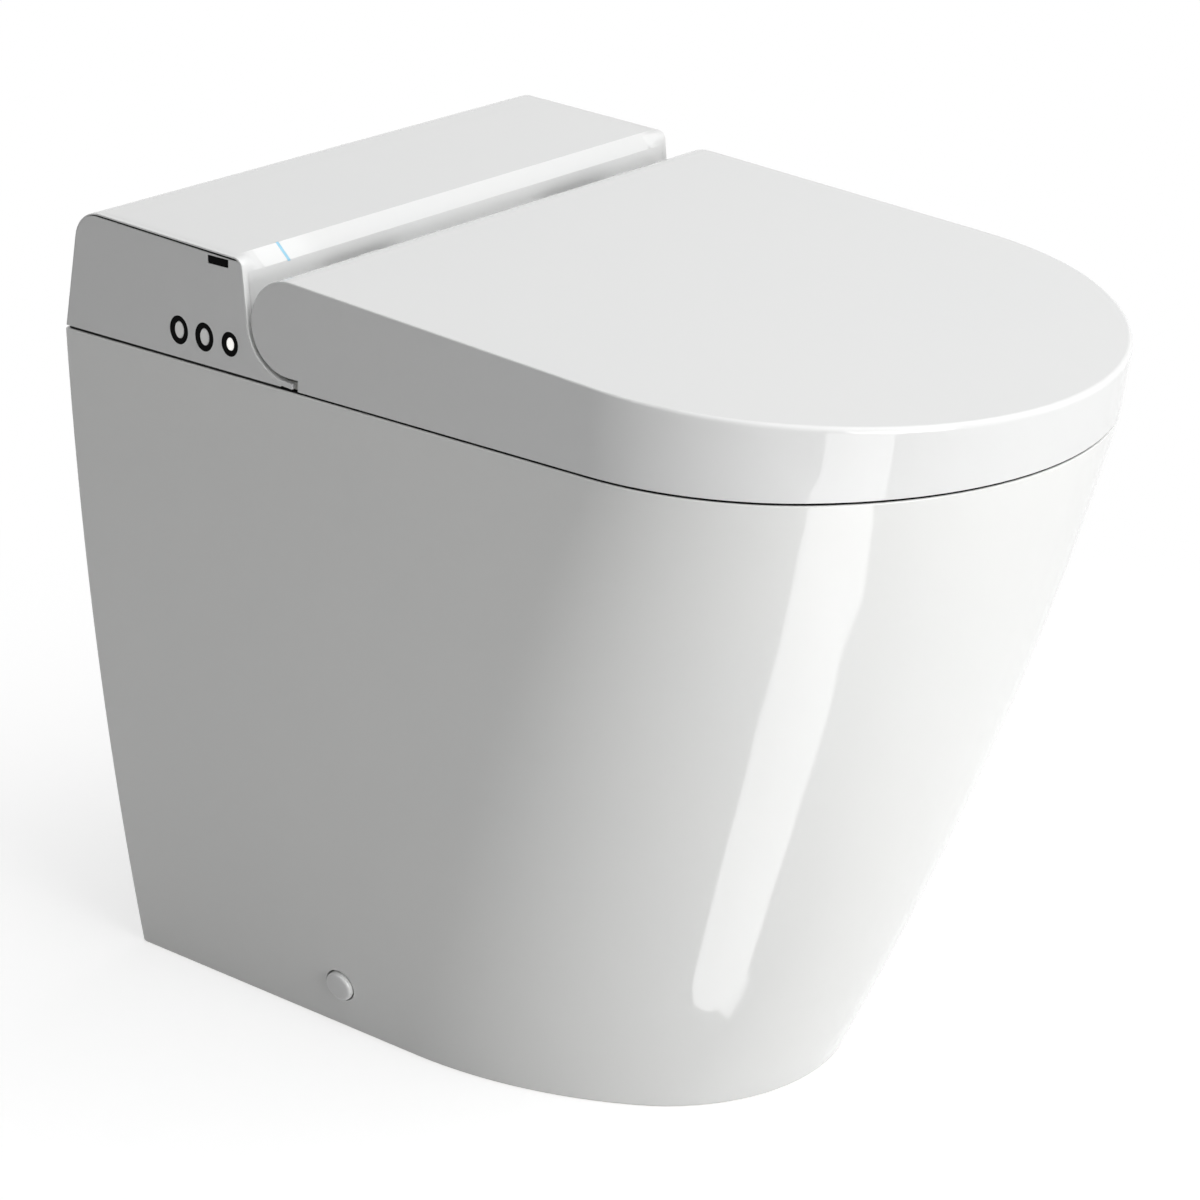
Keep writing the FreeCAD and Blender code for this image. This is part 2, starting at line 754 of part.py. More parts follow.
# The china is cast as a skirt with its deck, a bowl and a trapway, stuck together with slip before firing.
skirt_solid = fuse("skirt_solid", skirt_shell, well_outer)
bowl_solid = fuse("bowl_solid", bowl_outer, tunnel_walls)
piece("pan_skirt", cut("skirt", skirt_solid, bowl_inner, well_inner, tunnel_inner, *pan_holes))
piece("pan_bowl", cut("bowl", bowl_solid, bowl_inner, trap_inner, tunnel_inner))
piece("pan_trapway", cut("trap", trap_outer, bowl_outer, trap_inner))

# Rear unit: gasket on the china deck and the base plate over it
GASKET_FRONT = "(dims.hinge_setback + dims.toe_length - dims.gasket_inset)"
SCREWS = [(sign, setback) for sign in ("-1", "1") for setback in (d("unit_screw_near"), d("unit_screw_far"))]


def at_screws(name, radius, length, z):
    """Upright bars at the four places where the rear unit is screwed down."""
    return [rod(f"{name}_{i}", "up", radius, length, f"{sign} * dims.unit_screw_pitch_x / 2", setback, z)
            for i, (sign, setback) in enumerate(SCREWS)]


gasket_slab = block("gasket_slab", (f"-({HALF} - dims.gasket_inset)", f"{HALF} - dims.gasket_inset"),
                    (d("gasket_inset"), GASKET_FRONT), (d("rim_height"), SEAM_TOP))
gasket_hole = block("gasket_hole",
                    (f"-({WELL_HALF} + dims.gasket_margin)", f"{WELL_HALF} + dims.gasket_margin"),
                    ("dims.well_back - dims.gasket_margin", "dims.well_front + dims.gasket_margin"),
                    ("dims.rim_height - 1", f"{SEAM_TOP} + 1"))
piece("deck_gasket", cut("gasket", gasket_slab, gasket_hole,
                         *at_screws("gasket_screw_hole", d("insert_radius"), "dims.seam_gap + 2",
                                    "dims.rim_height - 1")))

PLATE_HALF = f"({HALF} - dims.plate_inset)"
FOOT_DROP = f"(dims.hinge_height - {PLATE_TOP})"
COVER_FOOT = f"(dims.hinge_setback - sqrt({CHANNEL} * {CHANNEL} - {FOOT_DROP} * {FOOT_DROP}))"
PLATE_FRONT = "(dims.hinge_setback + dims.toe_length)"
plate = block("plate_slab", (f"-{PLATE_HALF}", PLATE_HALF),
              ("dims.cover_back + dims.cover_wall + dims.tongue_clearance", PLATE_FRONT),
              (SEAM_TOP, PLATE_TOP))
DRIVE_HALF = "(dims.cradle_ear_reach - dims.cradle_ear_hold)"
AIR_HALF = "(dims.duct_width / 2 + dims.duct_margin)"
plate_holes = [
    block("drive_opening", (f"-{DRIVE_HALF}", DRIVE_HALF),
          ("dims.wand_tip_setback - dims.wand_length * cos(dims.wand_tilt) - dims.wand_radius",
           d("well_front")),
          (f"{SEAM_TOP} - 1", f"{PLATE_TOP} + 1")),
    block("air_opening", (f"dims.duct_x - {AIR_HALF}", f"dims.duct_x + {AIR_HALF}"),
          ("dims.blower_setback + dims.blower_radius + dims.duct_margin", d("well_front")),
          (f"{SEAM_TOP} - 1", f"{PLATE_TOP} + 1")),
] + at_screws("plate_screw_hole", "dims.unit_screw_radius + dims.unit_screw_clearance",
               "dims.plate_thickness + 2", f"{SEAM_TOP} - 1")
plate_parts = [plate]
for sign, side in ((-1, "right"), (1, "left")):
    low = d("post_inner") if sign > 0 else f"-{POST_OUTER}"
    high = POST_OUTER if sign > 0 else f"-{d('post_inner')}"
    plate_parts.append(block(f"post_{side}", (low, high),
                             (f"{COVER_FOOT} + dims.post_clearance", PLATE_FRONT),
                             (f"{SEAM_TOP} + 1", d("hinge_height"))))
    plate_parts.append(rod(f"post_hub_{side}", "across", d("hub_radius"), d("post_thickness"), low,
                           d("hinge_setback"), d("hinge_height")))
    plate_holes.append(rod(f"post_bore_{side}", "across", d("pin_radius"), "dims.post_thickness + 2",
                           f"{low} - 1", d("hinge_setback"), d("hinge_height")))
BOARD_HALF = "(dims.board_length / 2)"
STANDOFF_X = f"({BOARD_HALF} - dims.standoff_margin)"
STANDOFF_S = ("dims.board_setback + dims.standoff_margin",
              "dims.board_setback + dims.board_depth - dims.standoff_margin")
for i, (side, setback) in enumerate((side, setback) for side in ("-1", "1") for setback in STANDOFF_S):
    plate_parts.append(rod(f"board_standoff_{i}", "up", d("standoff_radius"), "dims.board_lift + 1",
                           f"-dims.board_x + {side} * {STANDOFF_X}", setback, f"{PLATE_TOP} - 1"))
piece("base_plate", cut("plate", fuse("plate_solid", *plate_parts), *plate_holes))

piece("plate_inserts", group("inserts", *[
    cut(f"insert_{i}", outer, inner) for i, (outer, inner) in enumerate(zip(
        at_screws("insert_body", d("insert_radius"), "dims.insert_length",
                  "dims.rim_height - dims.insert_length"),
        at_screws("insert_hole", d("unit_screw_radius"), "dims.insert_length + 2",
                  "dims.rim_height - dims.insert_length - 1")))]))
piece("plate_screws", group("screws", *[
    fuse(f"screw_{i}", shank, head) for i, (shank, head) in enumerate(zip(
        at_screws("screw_shank", d("unit_screw_radius"),
                  "dims.insert_length + dims.seam_gap + dims.plate_thickness",
                  "dims.rim_height - dims.insert_length"),
        at_screws("screw_head", d("unit_head_radius"), d("unit_head"), PLATE_TOP)))]))


# Rear unit: cover and end panels share one side profile, hollowed towards the lid's rolled edge
def unit_profile(name, inset, low, heel, level):
    """Side outline of the rear unit, set in by an amount; its hollow front ends above its foot."""
    channel = f"({CHANNEL} + {inset})"
    drop = f"(dims.hinge_height - ({low}))"
    foot = f"(dims.hinge_setback - sqrt({channel} * {channel} - {drop} * {drop}))"
    steps = [
        ((f"dims.cover_back + dims.cover_lean + {inset}", f"dims.cover_back_height - {inset}"),),
        ((f"dims.cover_front - {inset}", f"dims.cover_front_height - {inset}"),),
        ((f"dims.hinge_setback - {channel}", d("hinge_height")),),
        ((foot, low), (d("hinge_setback"), d("hinge_height")), channel),
    ]
    if heel != low:
        steps.append(((foot, heel),))
    steps.append(((f"dims.cover_back + {inset}", heel),))
    return profile(name, "side", (f"dims.cover_back + {inset}", heel), steps, level)


def unit_form(name, inset, low, length, level="0", both_ways=False, heel=None, flat_front=False):
    """Solid of the rear unit's outline, its rear top edge round and its front one round or cut flat."""
    outline = unit_profile(f"{name}_outline", inset, low, heel or low, level)
    raw = prism(f"{name}_raw", outline, length, both_ways)
    rear_y = number(back(f"dims.cover_back + dims.cover_lean + {inset}"))
    front_y = number(back(f"dims.cover_front - {inset}"))

    def ridge(at):
        """Test for the edge across the unit at one Y."""
        def chosen(edge):
            box = edge.BoundBox
            return abs(box.YMin - at) < 0.01 and abs(box.YMax - at) < 0.01 and box.XLength > 0.5
        return chosen

    eased = rounded(f"{name}_rear_eased", raw, ridge(rear_y), f"dims.cover_back_round - {inset}")
    if flat_front:
        return rounded(name, eased, ridge(front_y), d("cover_front_cut"), "Chamfer")
    return rounded(name, eased, ridge(front_y), d("cover_front_round"))


SHELL_LOW = f"({SEAM_TOP} + dims.cover_lift)"
cover_outer = unit_form("cover_outer", "0", PLATE_TOP, f"2 * {COVER_HALF}", both_ways=True, flat_front=True)
# The hollow ends a hair below the cover's foot, so that it comes out open underneath.
HAIR = "0.001"
cover_inner = unit_form("cover_inner", d("cover_wall"), f"{PLATE_TOP} - {HAIR}",
                        f"2 * {COVER_HALF} + {BEYOND}",
                        both_ways=True)
cover_skirt = block("cover_skirt", (f"-{COVER_HALF}", COVER_HALF),
                    (d("cover_back"), "dims.cover_back + dims.cover_wall"), (SHELL_LOW, f"{PLATE_TOP} + 2"))
cover_shell = cut("cover_shell", cover_outer, cover_inner)

# Status light: a narrow strip of the cover's front edge
light_zone = block("light_zone",
                   ("-(dims.light_x + dims.light_width / 2)", "-(dims.light_x - dims.light_width / 2)"),
                   ("dims.cover_front - dims.light_length", "dims.cover_front + 2"),
                   ("dims.cover_front_height - dims.light_length", "dims.cover_front_height + 2"))
GROWN = "(dims.light_width / 2 + dims.light_clearance)"
light_slot = block("light_slot", (f"-(dims.light_x + {GROWN})", f"-(dims.light_x - {GROWN})"),
                   ("dims.cover_front - dims.light_length - dims.light_clearance", "dims.cover_front + 2"),
                   ("dims.cover_front_height - dims.light_length - dims.light_clearance",
                    "dims.cover_front_height + 2"))
piece("status_light", common("light", cover_shell, light_zone))
piece("top_cover", cut("cover", fuse("cover_body", cover_shell, cover_skirt), light_slot))

# End panels, with a tongue that plugs into the cover
panels = {}
for sign, side in ((-1, "right"), (1, "left")):
    face = f"-{HALF}" if sign < 0 else f"{HALF} - dims.panel_thickness"
    inner = f"-({HALF} - dims.panel_thickness)"
    if sign > 0:
        inner = f"{HALF} - dims.panel_thickness - dims.tongue_depth"
    plug_in = "(dims.cover_wall + dims.tongue_clearance)"
    lift = f"({PLATE_TOP} + dims.tongue_clearance)"
    sheet_form = unit_form(f"panel_{side}", "0", PLATE_TOP, d("panel_thickness"), face, heel=SHELL_LOW)
    plug = unit_form(f"plug_{side}", plug_in, lift, d("tongue_depth"), inner)
    plug_core = unit_form(f"plug_core_{side}", f"({plug_in} + dims.tongue_wall)",
                          f"({lift} + dims.tongue_wall)",
                          "dims.tongue_depth + 2", f"{inner} - 1")
    panels[side] = (sheet_form, cut(f"tongue_{side}", plug, common(f"plug_void_{side}", plug_core, plug)))
left_sheet, left_tongue = panels["left"]
piece("end_panel_left", fuse("panel_left_body", left_sheet, left_tongue))

# Buttons on the right-hand panel
BUTTONS = ("flush_button", "wash_button", "stop_button")
RING_BACK = f"(-{HALF} + dims.ring_depth)"
BUTTON_BACK = f"({RING_BACK} + dims.button_flange_depth + dims.lug_clearance)"
SWITCH_TOP = f"({BUTTON_BACK} + dims.button_travel + dims.button_clearance)"
BOARD_FACE = f"({SWITCH_TOP} + dims.switch_height)"


def upright_oval(name, width, height, setback, x):
    """Elliptical bar along X between two X values, standing upright."""
    outline = bind(doc.addObject("Part::Ellipse", f"{name}_outline"), MajorRadius=f"({height}) / 2",
                   MinorRadius=f"({width}) / 2")
    outline.Placement = FreeCAD.Placement(Vector(), FreeCAD.Rotation(Vector(0, 1, 0), -90))
    place(outline, x[0], back(setback), d("button_height"))
    bar = prism(name, outline, f"{x[1]} - ({x[0]})")
    bar.DirMode = "Custom"
    bar.Dir = Vector(1, 0, 0)
    return bar


ring_list = []
panel_holes = []
switches = []
for i, name in enumerate(BUTTONS):
    setback = f"(dims.button_setback + {i} * dims.button_pitch)"
    wide = d("small_ring_width") if name == "stop_button" else d("ring_width")
    tall = d("small_ring_height") if name == "stop_button" else d("ring_height")
    core_wide = f"({wide} - 2 * dims.ring_band)"
    core_tall = f"({tall} - 2 * dims.ring_band)"
    slim_wide = f"({core_wide} - 2 * dims.button_clearance)"
    slim_tall = f"({core_tall} - 2 * dims.button_clearance)"
    front = f"-{HALF}"
    panel_holes.append(upright_oval(f"{name}_hole", wide, tall, setback,
                                    (f"{front} - 1", f"{RING_BACK} + 1")))
    ring = upright_oval(f"{name}_ring", wide, tall, setback, (front, RING_BACK))
    bore = upright_oval(f"{name}_bore", core_wide, core_tall, setback, (f"{front} - 1", f"{RING_BACK} + 1"))
    ring_list.append(cut(f"{name}_bezel", ring, bore))
    stem = upright_oval(f"{name}_stem", slim_wide, slim_tall, setback,
                        (f"{front} + dims.ring_proud", BUTTON_BACK))
    flange = upright_oval(f"{name}_flange", f"{core_wide} + 2 * dims.button_flange",
                          f"{core_tall} + 2 * dims.button_flange", setback,
                          (f"{RING_BACK} + dims.lug_clearance", BUTTON_BACK))
    piece(name, fuse(f"{name}_body", stem, flange))
    switches.append(block(f"{name}_switch", (SWITCH_TOP, f"{BOARD_FACE} + dims.board_thickness / 2"),
                          (f"{setback} - dims.switch_width / 2", f"{setback} + dims.switch_width / 2"),
                          ("dims.button_height - dims.switch_width / 2",
                           "dims.button_height + dims.switch_width / 2")))
piece("button_rings", group("rings", *ring_list))

BOARD_LOW = "(dims.button_height - dims.switch_board_margin)"
BOARD_HIGH = "(dims.button_height + dims.ring_height / 2 + 4 * dims.board_post_radius)"
board = block("switch_board", (BOARD_FACE, f"{BOARD_FACE} + dims.board_thickness"),
              ("dims.button_setback - dims.switch_board_margin",
               "dims.button_setback + 2 * dims.button_pitch + dims.switch_board_margin"),
               (BOARD_LOW, BOARD_HIGH))
piece("button_board", fuse("button_board_body", board, *switches))
POST_HEIGHT = f"({BOARD_HIGH} - 2 * dims.board_post_radius)"
board_posts = [rod(f"board_post_{i}", "across", d("board_post_radius"), f"{BOARD_FACE} + {HALF} - 1",
                   f"-{HALF} + 1", f"dims.button_setback + {step} * dims.button_pitch", POST_HEIGHT)
               for i, step in enumerate((0, 2))]

# Receiver window: a dark strip let into the panel under its top edge
WINDOW_HIGH = "(dims.cover_front_height - dims.window_drop)"
window_span = ("dims.window_setback - dims.window_length / 2", "dims.window_setback + dims.window_length / 2")
window_rise = (f"{WINDOW_HIGH} - dims.window_height", WINDOW_HIGH)
window_bar = block("window_bar", (f"-{HALF}", f"-{HALF} + dims.window_depth"), window_span, window_rise)
window_hole = block("window_hole", (f"-{HALF} - 1", f"-{HALF} + dims.window_depth"), window_span, window_rise)
piece("receiver_window", window_bar)
right_sheet, right_tongue = panels["right"]
panel_body = fuse("panel_right_body", right_sheet, right_tongue, *board_posts)
piece("end_panel_right", cut("panel_right_cut", panel_body, window_hole, *panel_holes))

# Hinge pins and soft-close dampers
pins = []
for sign, side in ((-1, "right"), (1, "left")):
    tail = "(dims.post_inner - dims.pin_tail)"
    start = tail if sign > 0 else f"-{PIN_HEAD_IN}"
    head = PIN_HEAD_IN if sign > 0 else f"-({PIN_HEAD_IN} + dims.pin_head)"
    axis = (d("hinge_setback"), d("hinge_height"))
    pin = rod(f"pin_{side}", "across", d("pin_radius"), f"{PIN_HEAD_IN} - {tail}", start, *axis)
    pin_head = rod(f"pin_head_{side}", "across", d("pin_head_radius"), d("pin_head"), head, *axis)
    pins.append(fuse(f"pin_whole_{side}", pin, pin_head))
    start = "dims.post_inner - dims.damper_length" if sign > 0 else "-dims.post_inner"
    case = rod(f"damper_case_{side}", "across", d("damper_radius"), d("damper_length"), start, *axis)
    socket = rod(f"damper_socket_{side}", "across", d("pin_radius"), d("pin_tail"),
                 tail if sign > 0 else "-dims.post_inner", *axis)
    piece(f"soft_close_damper_{side}", cut(f"damper_{side}", case, socket))
piece("hinge_pins", group("pins", *pins))

# Lid: plan form and side form make the shell, its rear edge rolled round the hinge axis
LID_LOW = SEAM_TOP
LEAN = "(dims.lid_overhang / (dims.hinge_height - dims.rim_height))"
LID_CAP = f"(dims.cover_back_height + 2 * {BEYOND})"
TOP_S = "(dims.hinge_setback + {r} * sin(dims.lid_slope))"
TOP_Z = "(dims.hinge_height + {r} * cos(dims.lid_slope))"
LID_FAR = f"(dims.overall_length + 2 * {BEYOND})"


def lid_top(setback, radius):
    """Height of the sloping top, or of its underside, at a wall distance."""
    return (f"(dims.hinge_height + {radius} / cos(dims.lid_slope)"
            f" - ({setback} - dims.hinge_setback) * tan(dims.lid_slope))")


def lid_form(name, inset, low):
    """Lid solid set in by a wall: plan loft and side outline in common."""
    radius = f"(dims.barrel_radius - {inset})"
    step = f"(dims.hinge_setback + dims.lid_step + {inset})"
    rear = f"(dims.hinge_setback - {CHANNEL})"
    plans = []
    for where, level in (("low", low), ("high", LID_CAP)):
        front = f"({RIM_LENGTH} + {LEAN} * ({level} - dims.rim_height) - {inset})"
        plans.append(arched(f"{name}_plan_{where}", level, f"({HALF} - {inset})", rear, front, RIM_ARCH,
                            f"(dims.rim_side_radius - {inset})"))
    under = f"(dims.hinge_height - {radius})"
    outline = profile(f"{name}_side", "side", (step, low), [
        ((LID_FAR, low),),
        ((LID_FAR, lid_top(LID_FAR, radius)),),
        ((TOP_S.format(r=radius), TOP_Z.format(r=radius)),),
        ((f"dims.hinge_setback - {radius}", d("hinge_height")), (d("hinge_setback"), d("hinge_height")),
         radius),
        ((d("hinge_setback"), under), (d("hinge_setback"), d("hinge_height")), radius),
        ((step, under),),
        ((step, low),),
    ])
    side = prism(f"{name}_slab", outline, "2 * dims.pan_width", both_ways=True)
    return common(name, loft(f"{name}_plan", *plans), side)


lid_outer = lid_form("lid_outer", "0", LID_LOW)
lid_inner = lid_form("lid_inner", d("lid_wall"), f"({LID_LOW} - {BEYOND})")


def on_lid_top(edge):
    """Test for an edge round the lid's sloping top, apart from where the rolled edge starts."""
    start = number(back(TOP_S.format(r=d("barrel_radius"))))
    slope = math.tan(math.radians(number(d("lid_slope"))))
    base = number(lid_top(d("hinge_setback"), d("barrel_radius")))
    axis_y = number(back(d("hinge_setback")))
    marks = [edge.valueAt(edge.FirstParameter + share * (edge.LastParameter - edge.FirstParameter))
             for share in (0.0, 0.5, 1.0)]
    level = all(abs(mark.z - (base - (axis_y - mark.y) * slope)) < 0.02 for mark in marks)
    return level and any(mark.y < start - 1 for mark in marks)


lid_eased = rounded("lid_eased", lid_outer, on_lid_top, d("lid_edge_round"))
lid_parts = []
lid_cuts = [lid_inner]
NOTCH_IN = "(dims.post_inner - dims.lid_notch_margin)"
NOTCH_OUT = f"({LID_LUG_OUT} + dims.pin_head + dims.lid_notch_margin)"
for sign, side in ((-1, "right"), (1, "left")):
    low = NOTCH_IN if sign > 0 else f"-{NOTCH_OUT}"
    high = NOTCH_OUT if sign > 0 else f"-{NOTCH_IN}"
    lid_cuts.append(block(f"lid_notch_{side}", (low, high),
                          (f"dims.hinge_setback - {CHANNEL}",
                           "dims.hinge_setback + dims.lid_step + dims.lid_wall + 1"),
                          (f"{LID_LOW} - {BEYOND}",
                           "dims.hinge_height + dims.barrel_radius * sin(dims.lid_notch_angle)")))
    low = LID_LUG_IN if sign > 0 else f"-{LID_LUG_OUT}"
    high = LID_LUG_OUT if sign > 0 else f"-{LID_LUG_IN}"
    web = block(f"lid_web_{side}", (low, high), ("dims.hinge_setback - dims.hub_radius + dims.lid_web_taper",
                                                 "dims.hinge_setback + dims.hub_radius - dims.lid_web_taper"),
                (d("hinge_height"), "dims.hinge_height + dims.barrel_radius - dims.lid_wall / 2"))
    hub = rod(f"lid_hub_{side}", "across", d("hub_radius"), d("lid_lug"), low, d("hinge_setback"),
              d("hinge_height"))
    bore = rod(f"lid_bore_{side}", "across", "dims.pin_radius + dims.pin_clearance", "dims.lid_lug + 2",
               f"{low} - 1", d("hinge_setback"), d("hinge_height"))
    lid_parts.append(cut(f"lid_lug_whole_{side}", fuse(f"lid_lug_{side}", web, hub), bore))
LID_PADS = [(sign, *spot) for sign in ("-1", "1") for spot in (
    (d("lid_buffer_front"), d("lid_buffer_front_spread")),
    (d("lid_buffer_back"), d("lid_buffer_back_spread")))]
PAD_TOP = f"({SEAT_HIGH} + dims.buffer_gap + dims.lid_buffer_height)"
lid_pads = []
for i, (sign, setback, spread) in enumerate(LID_PADS):
    ceiling = lid_top(setback, "(dims.barrel_radius - dims.lid_wall / 2)")
    lid_parts.append(rod(f"lid_boss_{i}", "up", "dims.buffer_radius + dims.lid_boss_wall",
                         f"{ceiling} - {PAD_TOP}",
                         f"{sign} * {spread} / 2", setback, PAD_TOP))
    lid_pads.append(rod(f"lid_pad_{i}", "up", d("buffer_radius"), d("lid_buffer_height"),
                        f"{sign} * {spread} / 2", setback, f"{SEAT_HIGH} + dims.buffer_gap"))
piece("lid", fuse("lid_body", cut("lid_shell", lid_eased, *lid_cuts), *lid_parts))
piece("lid_buffers", group("lid_pads", *lid_pads))


# Seat: two mouldings with a heater foil between, lugs reaching back to the pins
def seat_slab(name, low, high):
    """Seat outline between two heights."""
    outline = arched(f"{name}_outline", low, f"({HALF} - dims.seat_inset)", d("seat_back"),
                     f"({RIM_LENGTH} - dims.seat_inset)", RIM_ARCH,
                     "(dims.rim_side_radius - dims.seat_inset)")
    return prism(name, outline, f"{high} - ({low})")


def seat_hole(name, low, high):
    """Opening of the seat."""
    return oval_disc(name, d("seat_hole_setback"), d("seat_hole_length"), d("seat_hole_width"),
                     f"{low} - 1", f"{high} + 1")


def heater_ring(name, spread, low, high):
    """Oval band round the seat's opening."""
    inner = f"2 * (dims.heater_margin - {spread})"
    outer = f"2 * (dims.heater_margin + dims.heater_band + {spread})"
    return cut(name, oval_disc(f"{name}_out", d("seat_hole_setback"), f"{d('seat_hole_length')} + {outer}",
                               f"{d('seat_hole_width')} + {outer}", low, high),
               oval_disc(f"{name}_in", d("seat_hole_setback"), f"{d('seat_hole_length')} + {inner}",
                         f"{d('seat_hole_width')} + {inner}", f"{low} - 1", f"{high} + 1"))


seat_ring = cut("seat_ring", seat_slab("seat_top_slab", SEAT_SPLIT, SEAT_HIGH),
                seat_hole("seat_top_hole", SEAT_SPLIT, SEAT_HIGH))
doc.recompute()
seat_height = number(SEAT_HIGH)


def seat_rim(inner):
    """Test for the top edges of the seat, either round the opening or round the outside."""
    limit = number("dims.seat_hole_width / 2 + 1")

    def chosen(edge):
        box = edge.BoundBox
        level = abs(box.ZMin - seat_height) < 0.01 and abs(box.ZMax - seat_height) < 0.01
        within = box.XMax < limit and box.XMin > -limit and box.YLength > 1
        return level and (within and box.YLength > limit) == inner
    return chosen


seat_eased = rounded("seat_eased", rounded("seat_lip", seat_ring, seat_rim(True), d("seat_inner_round")),
                     seat_rim(False), d("seat_outer_round"))
seat_parts = [seat_eased]
seat_cuts = [heater_ring("heater_groove", d("heater_clearance"), f"{SEAT_SPLIT} - 1",
                         f"{SEAT_SPLIT} + dims.heater_thickness + dims.heater_clearance")]
bushes = []
ARM_FRONT = "(dims.seat_back + dims.seat_outer_round + dims.arm_overlap)"
ARM_HIGH = "(dims.hinge_height + dims.hub_radius - dims.arm_taper)"
ARM_LOW = "(dims.hinge_height - dims.hub_radius + dims.arm_taper)"
for sign, side in ((-1, "right"), (1, "left")):
    low = SEAT_LUG_IN if sign > 0 else f"-{SEAT_LUG_OUT}"
    axis = (d("hinge_setback"), d("hinge_height"))
    arm = profile(f"seat_arm_outline_{side}", "side", (d("hinge_setback"), ARM_HIGH), [
        ((ARM_FRONT, f"{SEAT_HIGH} - dims.arm_sink"),),
        ((ARM_FRONT, f"{SEAT_SPLIT} + dims.arm_sink"),),
        ((d("seat_back"), f"{SEAT_SPLIT} + dims.arm_sink"),),
        ((d("hinge_setback"), ARM_LOW),),
        ((d("hinge_setback"), ARM_HIGH),),
    ], low)
    seat_parts.append(prism(f"seat_arm_{side}", arm, d("seat_lug")))
    seat_parts.append(rod(f"seat_hub_{side}", "across", d("hub_radius"), d("seat_lug"), low, *axis))
    bush_radius = "dims.pin_radius + dims.pin_clearance + dims.bush_wall"
    seat_cuts.append(rod(f"seat_bore_{side}", "across", bush_radius, "dims.seat_lug + 2", f"{low} - 1",
                         *axis))
    bushes.append(cut(f"bush_{side}",
                      rod(f"bush_body_{side}", "across", bush_radius, d("seat_lug"), low, *axis),
                      rod(f"bush_bore_{side}", "across", "dims.pin_radius + dims.pin_clearance",
                          "dims.seat_lug + 2", f"{low} - 1", *axis)))
piece("seat_top", cut("seat_top_body", fuse("seat_top_solid", *seat_parts), *seat_cuts))
piece("seat_hinge_bushes", group("bushes", *bushes))
piece("seat_bottom", cut("seat_bottom_body", seat_slab("seat_bottom_slab", SEAT_LOW, SEAT_SPLIT),
                         seat_hole("seat_bottom_hole", SEAT_LOW, SEAT_SPLIT)))
piece("seat_heater", heater_ring("heater_foil", "0", SEAT_SPLIT, f"{SEAT_SPLIT} + dims.heater_thickness"))
SEAT_PADS = [(sign, *spot) for sign in ("-1", "1") for spot in (
    (d("buffer_front"), d("buffer_front_spread")), (d("buffer_back"), d("buffer_back_spread")))]
piece("seat_buffers", group("seat_pads", *[
    rod(f"seat_pad_{i}", "up", d("buffer_radius"), "dims.seat_lift - dims.buffer_gap",
        f"{sign} * {spread} / 2",
        setback, "dims.rim_height + dims.buffer_gap") for i,
        (sign, setback, spread) in enumerate(SEAT_PADS)]))

# Wash wand with its spray head, and the rack along its back
WAND_BACK = f"-{d('wand_length')}"
HEAD_BACK = f"-{d('head_length')}"
wand_tube = tilted_rod("wand_tube", d("wand_radius"), "0", (WAND_BACK, HEAD_BACK), TIP)
wand_bore = tilted_rod("wand_bore_hole", d("wand_bore"), "0",
                       (f"{WAND_BACK} - 1", f"{HEAD_BACK} - dims.wand_plug"), TIP)
piece("wash_wand", cut("wand", wand_tube, wand_bore))
head_form = tilted_rod("head_form", d("head_radius"), "0", (HEAD_BACK, "0"), TIP)
jets = [tilted_rod(f"jet_{i}", d("jet_radius"), "0", ("0", "2 * dims.head_radius"), TIP) for i in range(3)]
for i, jet in enumerate(jets):
    bind(jet, Placement__Rotation__Angle="dims.wand_tilt")
    y, z = sloped(d("jet_floor"), f"-dims.jet_first - {i} * dims.jet_pitch", TIP)
    place(jet, "0", y, z)


def at_tip(edge):
    """Test for the round edge of the head's free end."""
    middle_y = number(back(d("wand_tip_setback")))
    return edge.Closed and abs(edge.CenterOfMass.y - middle_y) < 0.1


head_end = rounded("head_end", head_form, at_tip, d("head_round"))
piece("spray_head", cut("head", head_end, *jets))


def in_slope(shape, along, up, x, tip_height):
    """Set a shape drawn as across, up and along into the wand's sloping frame."""
    y, z = sloped(up, along, tip_height)
    turn = FreeCAD.Rotation(Vector(1, 0, 0), 90 + number(d("wand_tilt")))
    shape.Placement = FreeCAD.Placement(Vector(number(x), number(y), number(z)), turn)
    return shape


MODULE = number(d("rack_module"))
TEETH = int(round(number(d("pinion_teeth"))))
PITCH_RADIUS = MODULE * TEETH / 2
PRESSURE = math.radians(number(d("pressure_angle")))
BACKLASH = number(d("rack_backlash"))
ROOT_DEPTH = number(d("rack_root")) * MODULE


def rack_shape():
    """Straight rack with sloping tooth flanks, in the across, up and along frame of the pitch line."""
    half_width = number(d("rack_width")) / 2
    pitch = math.pi * MODULE
    length = number(d("wand_length")) - number(d("rack_front"))
    count = int(length / pitch)
    half_tooth = pitch / 4 - BACKLASH / 2
    foot = half_tooth + ROOT_DEPTH * math.tan(PRESSURE)
    tip = half_tooth - MODULE * math.tan(PRESSURE)
    heel = -number(f"{PITCH_LINE} - dims.wand_radius + dims.rack_sink")
    points = [Vector(-half_width, heel, 0), Vector(-half_width, -ROOT_DEPTH, 0)]
    for i in range(count):
        middle = (i + 0.5) * pitch
        points.append(Vector(-half_width, -ROOT_DEPTH, middle - foot))
        points.append(Vector(-half_width, MODULE, middle - tip))
        points.append(Vector(-half_width, MODULE, middle + tip))
        points.append(Vector(-half_width, -ROOT_DEPTH, middle + foot))
    points.append(Vector(-half_width, -ROOT_DEPTH, count * pitch))
    points.append(Vector(-half_width, heel, count * pitch))
    face = Part.Face(Part.makePolygon(points + points[:1]))
    return face.extrude(Vector(2 * half_width, 0, 0))


